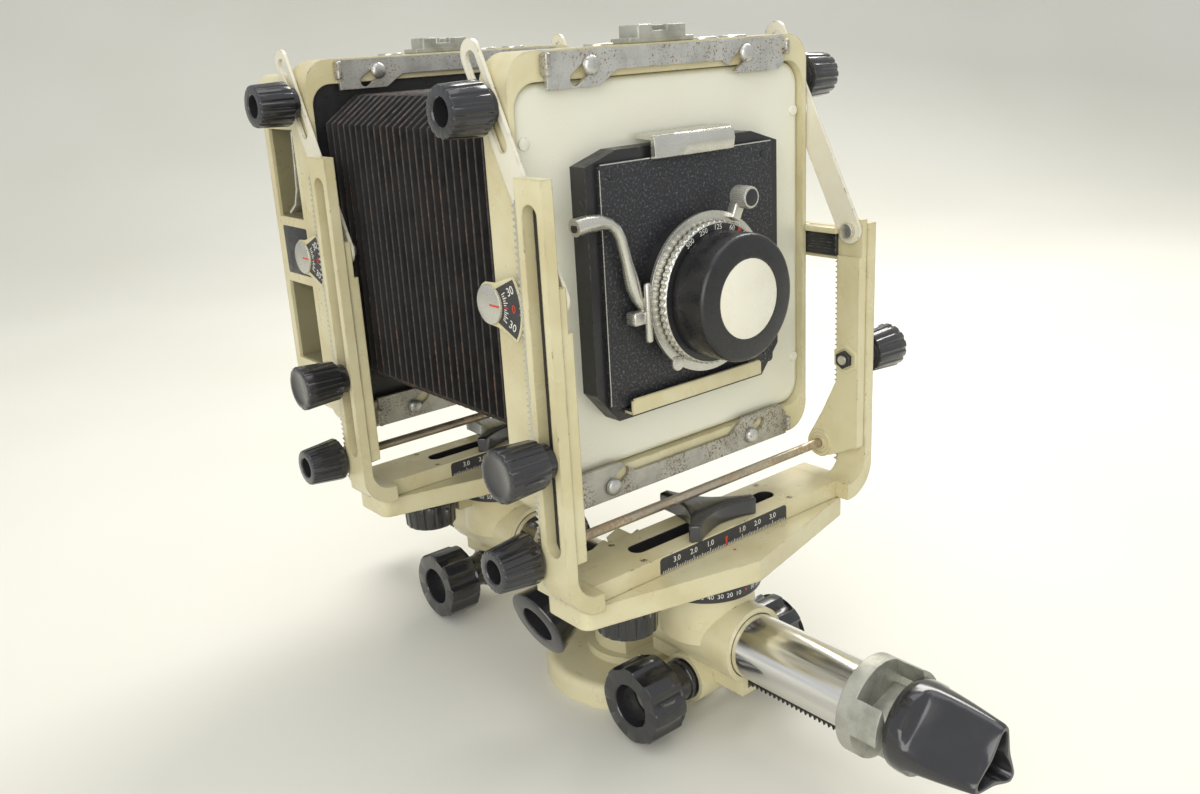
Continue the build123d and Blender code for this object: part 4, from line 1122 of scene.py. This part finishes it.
# ---- stage ---------------------------------------------------------------------------------
def stage():
    """Pale floor that sweeps up into a wall behind the object, and soft light."""
    ahead = Vector((math.sin(HEADING), math.cos(HEADING), 0))
    across = Vector((math.cos(HEADING), -math.sin(HEADING), 0))
    profile = [(-3.0 + 0.5 * i, 0.0) for i in range(9)]
    radius = 1.2
    for i in range(1, 19):
        a = math.pi / 36 * i
        profile.append((1.0 + radius * math.sin(a), radius * (1 - math.cos(a))))
    profile.append((1.0 + radius, 3.2))
    columns = 13
    points = [tuple(ahead * far + across * (i - 6) * 0.7 + Vector((0, 0, high)))
              for far, high in profile for i in range(columns)]
    faces = [(k * columns + i, k * columns + i + 1, (k + 1) * columns + i + 1, (k + 1) * columns + i)
             for k in range(len(profile) - 1) for i in range(columns - 1)]
    mesh = bpy.data.meshes.new("backdrop")
    mesh.from_pydata(points, [], faces)
    smooth(mesh, 30)
    floor = bpy.data.objects.new("backdrop", mesh)
    bpy.context.scene.collection.objects.link(floor)
    look = Look("pale_backdrop", (0.72, 0.71, 0.64), 0.6)
    look.paint(look.blend(look.step(look.noise(0.5, 2), 0.3, 0.7), (0.73, 0.72, 0.65), (0.69, 0.68, 0.60)))
    mesh.materials.append(look.material)

    world = bpy.data.worlds.new("soft_world")
    world.use_nodes = True
    background = world.node_tree.nodes["Background"]
    background.inputs["Color"].default_value = (0.95, 0.97, 1.0, 1)
    background.inputs["Strength"].default_value = 0.72
    bpy.context.scene.world = world
    bpy.context.scene.view_settings.view_transform = "Standard"
    for name, place, size, power, colour in (
        ("key", (0.85, 0.45, 1.1), 0.7, 15.0, (1.0, 0.97, 0.92)),
        ("fill", (-1.2, -0.9, 0.7), 1.2, 15.0, (1.0, 0.98, 0.95)),
        ("top", (-0.1, -0.2, 1.5), 1.0, 5.0, (1.0, 1.0, 1.0)),
    ):
        light = bpy.data.lights.new(name, "AREA")
        light.size = size
        light.energy = power
        light.color = colour
        lamp = bpy.data.objects.new(name, light)
        lamp.location = place
        aim = Vector((0, 0, 0.15)) - Vector(place)
        lamp.rotation_euler = aim.to_track_quat("-Z", "Y").to_euler()
        bpy.context.scene.collection.objects.link(lamp)


def camera():
    """Camera from the front left, looking slightly down, with a slight roll."""
    down, roll = math.radians(17.89), math.radians(3.284)
    flat = math.cos(down)
    ahead = Vector((flat * math.sin(HEADING), flat * math.cos(HEADING), -math.sin(down)))
    level = Vector((math.cos(HEADING), -math.sin(HEADING), 0))
    up = level.cross(ahead)
    right = level * math.cos(roll) - up * math.sin(roll)
    up = right.cross(ahead)
    lens = bpy.data.cameras.new("camera")
    lens.sensor_width = 36.0
    lens.lens = 33.74
    lens.clip_start = 0.01
    made = bpy.data.objects.new("camera", lens)
    turn = Matrix((right, up, -ahead)).transposed().to_4x4()
    made.matrix_world = Matrix.Translation((-0.32367, -0.38576, 0.30459)) @ turn
    bpy.context.scene.collection.objects.link(made)
    bpy.context.scene.camera = made


finish_cad()
ON_EACH_STANDARD = (focus_knobs, tilt_knobs, slider_knobs, rise_knob, swing_knob, shift_lever,
                    shift_scale, swing_scale, tilt_dial, plate_screws, slot_shade_and_strips, accessory_shoe,
                    latch_fittings, bolt_heads, strut_rivets, arm_pads, slider_bosses)
for side in SIDES:
    for build in ON_EACH_STANDARD:
        build(side)
for build in (clamp_knob, end_grip, bellows, lens_board, lens_panel, panel_lip, panel_catch, shutter,
              speed_ring, cocking_lever, lens_cap, back_details, stage, camera):
    build()
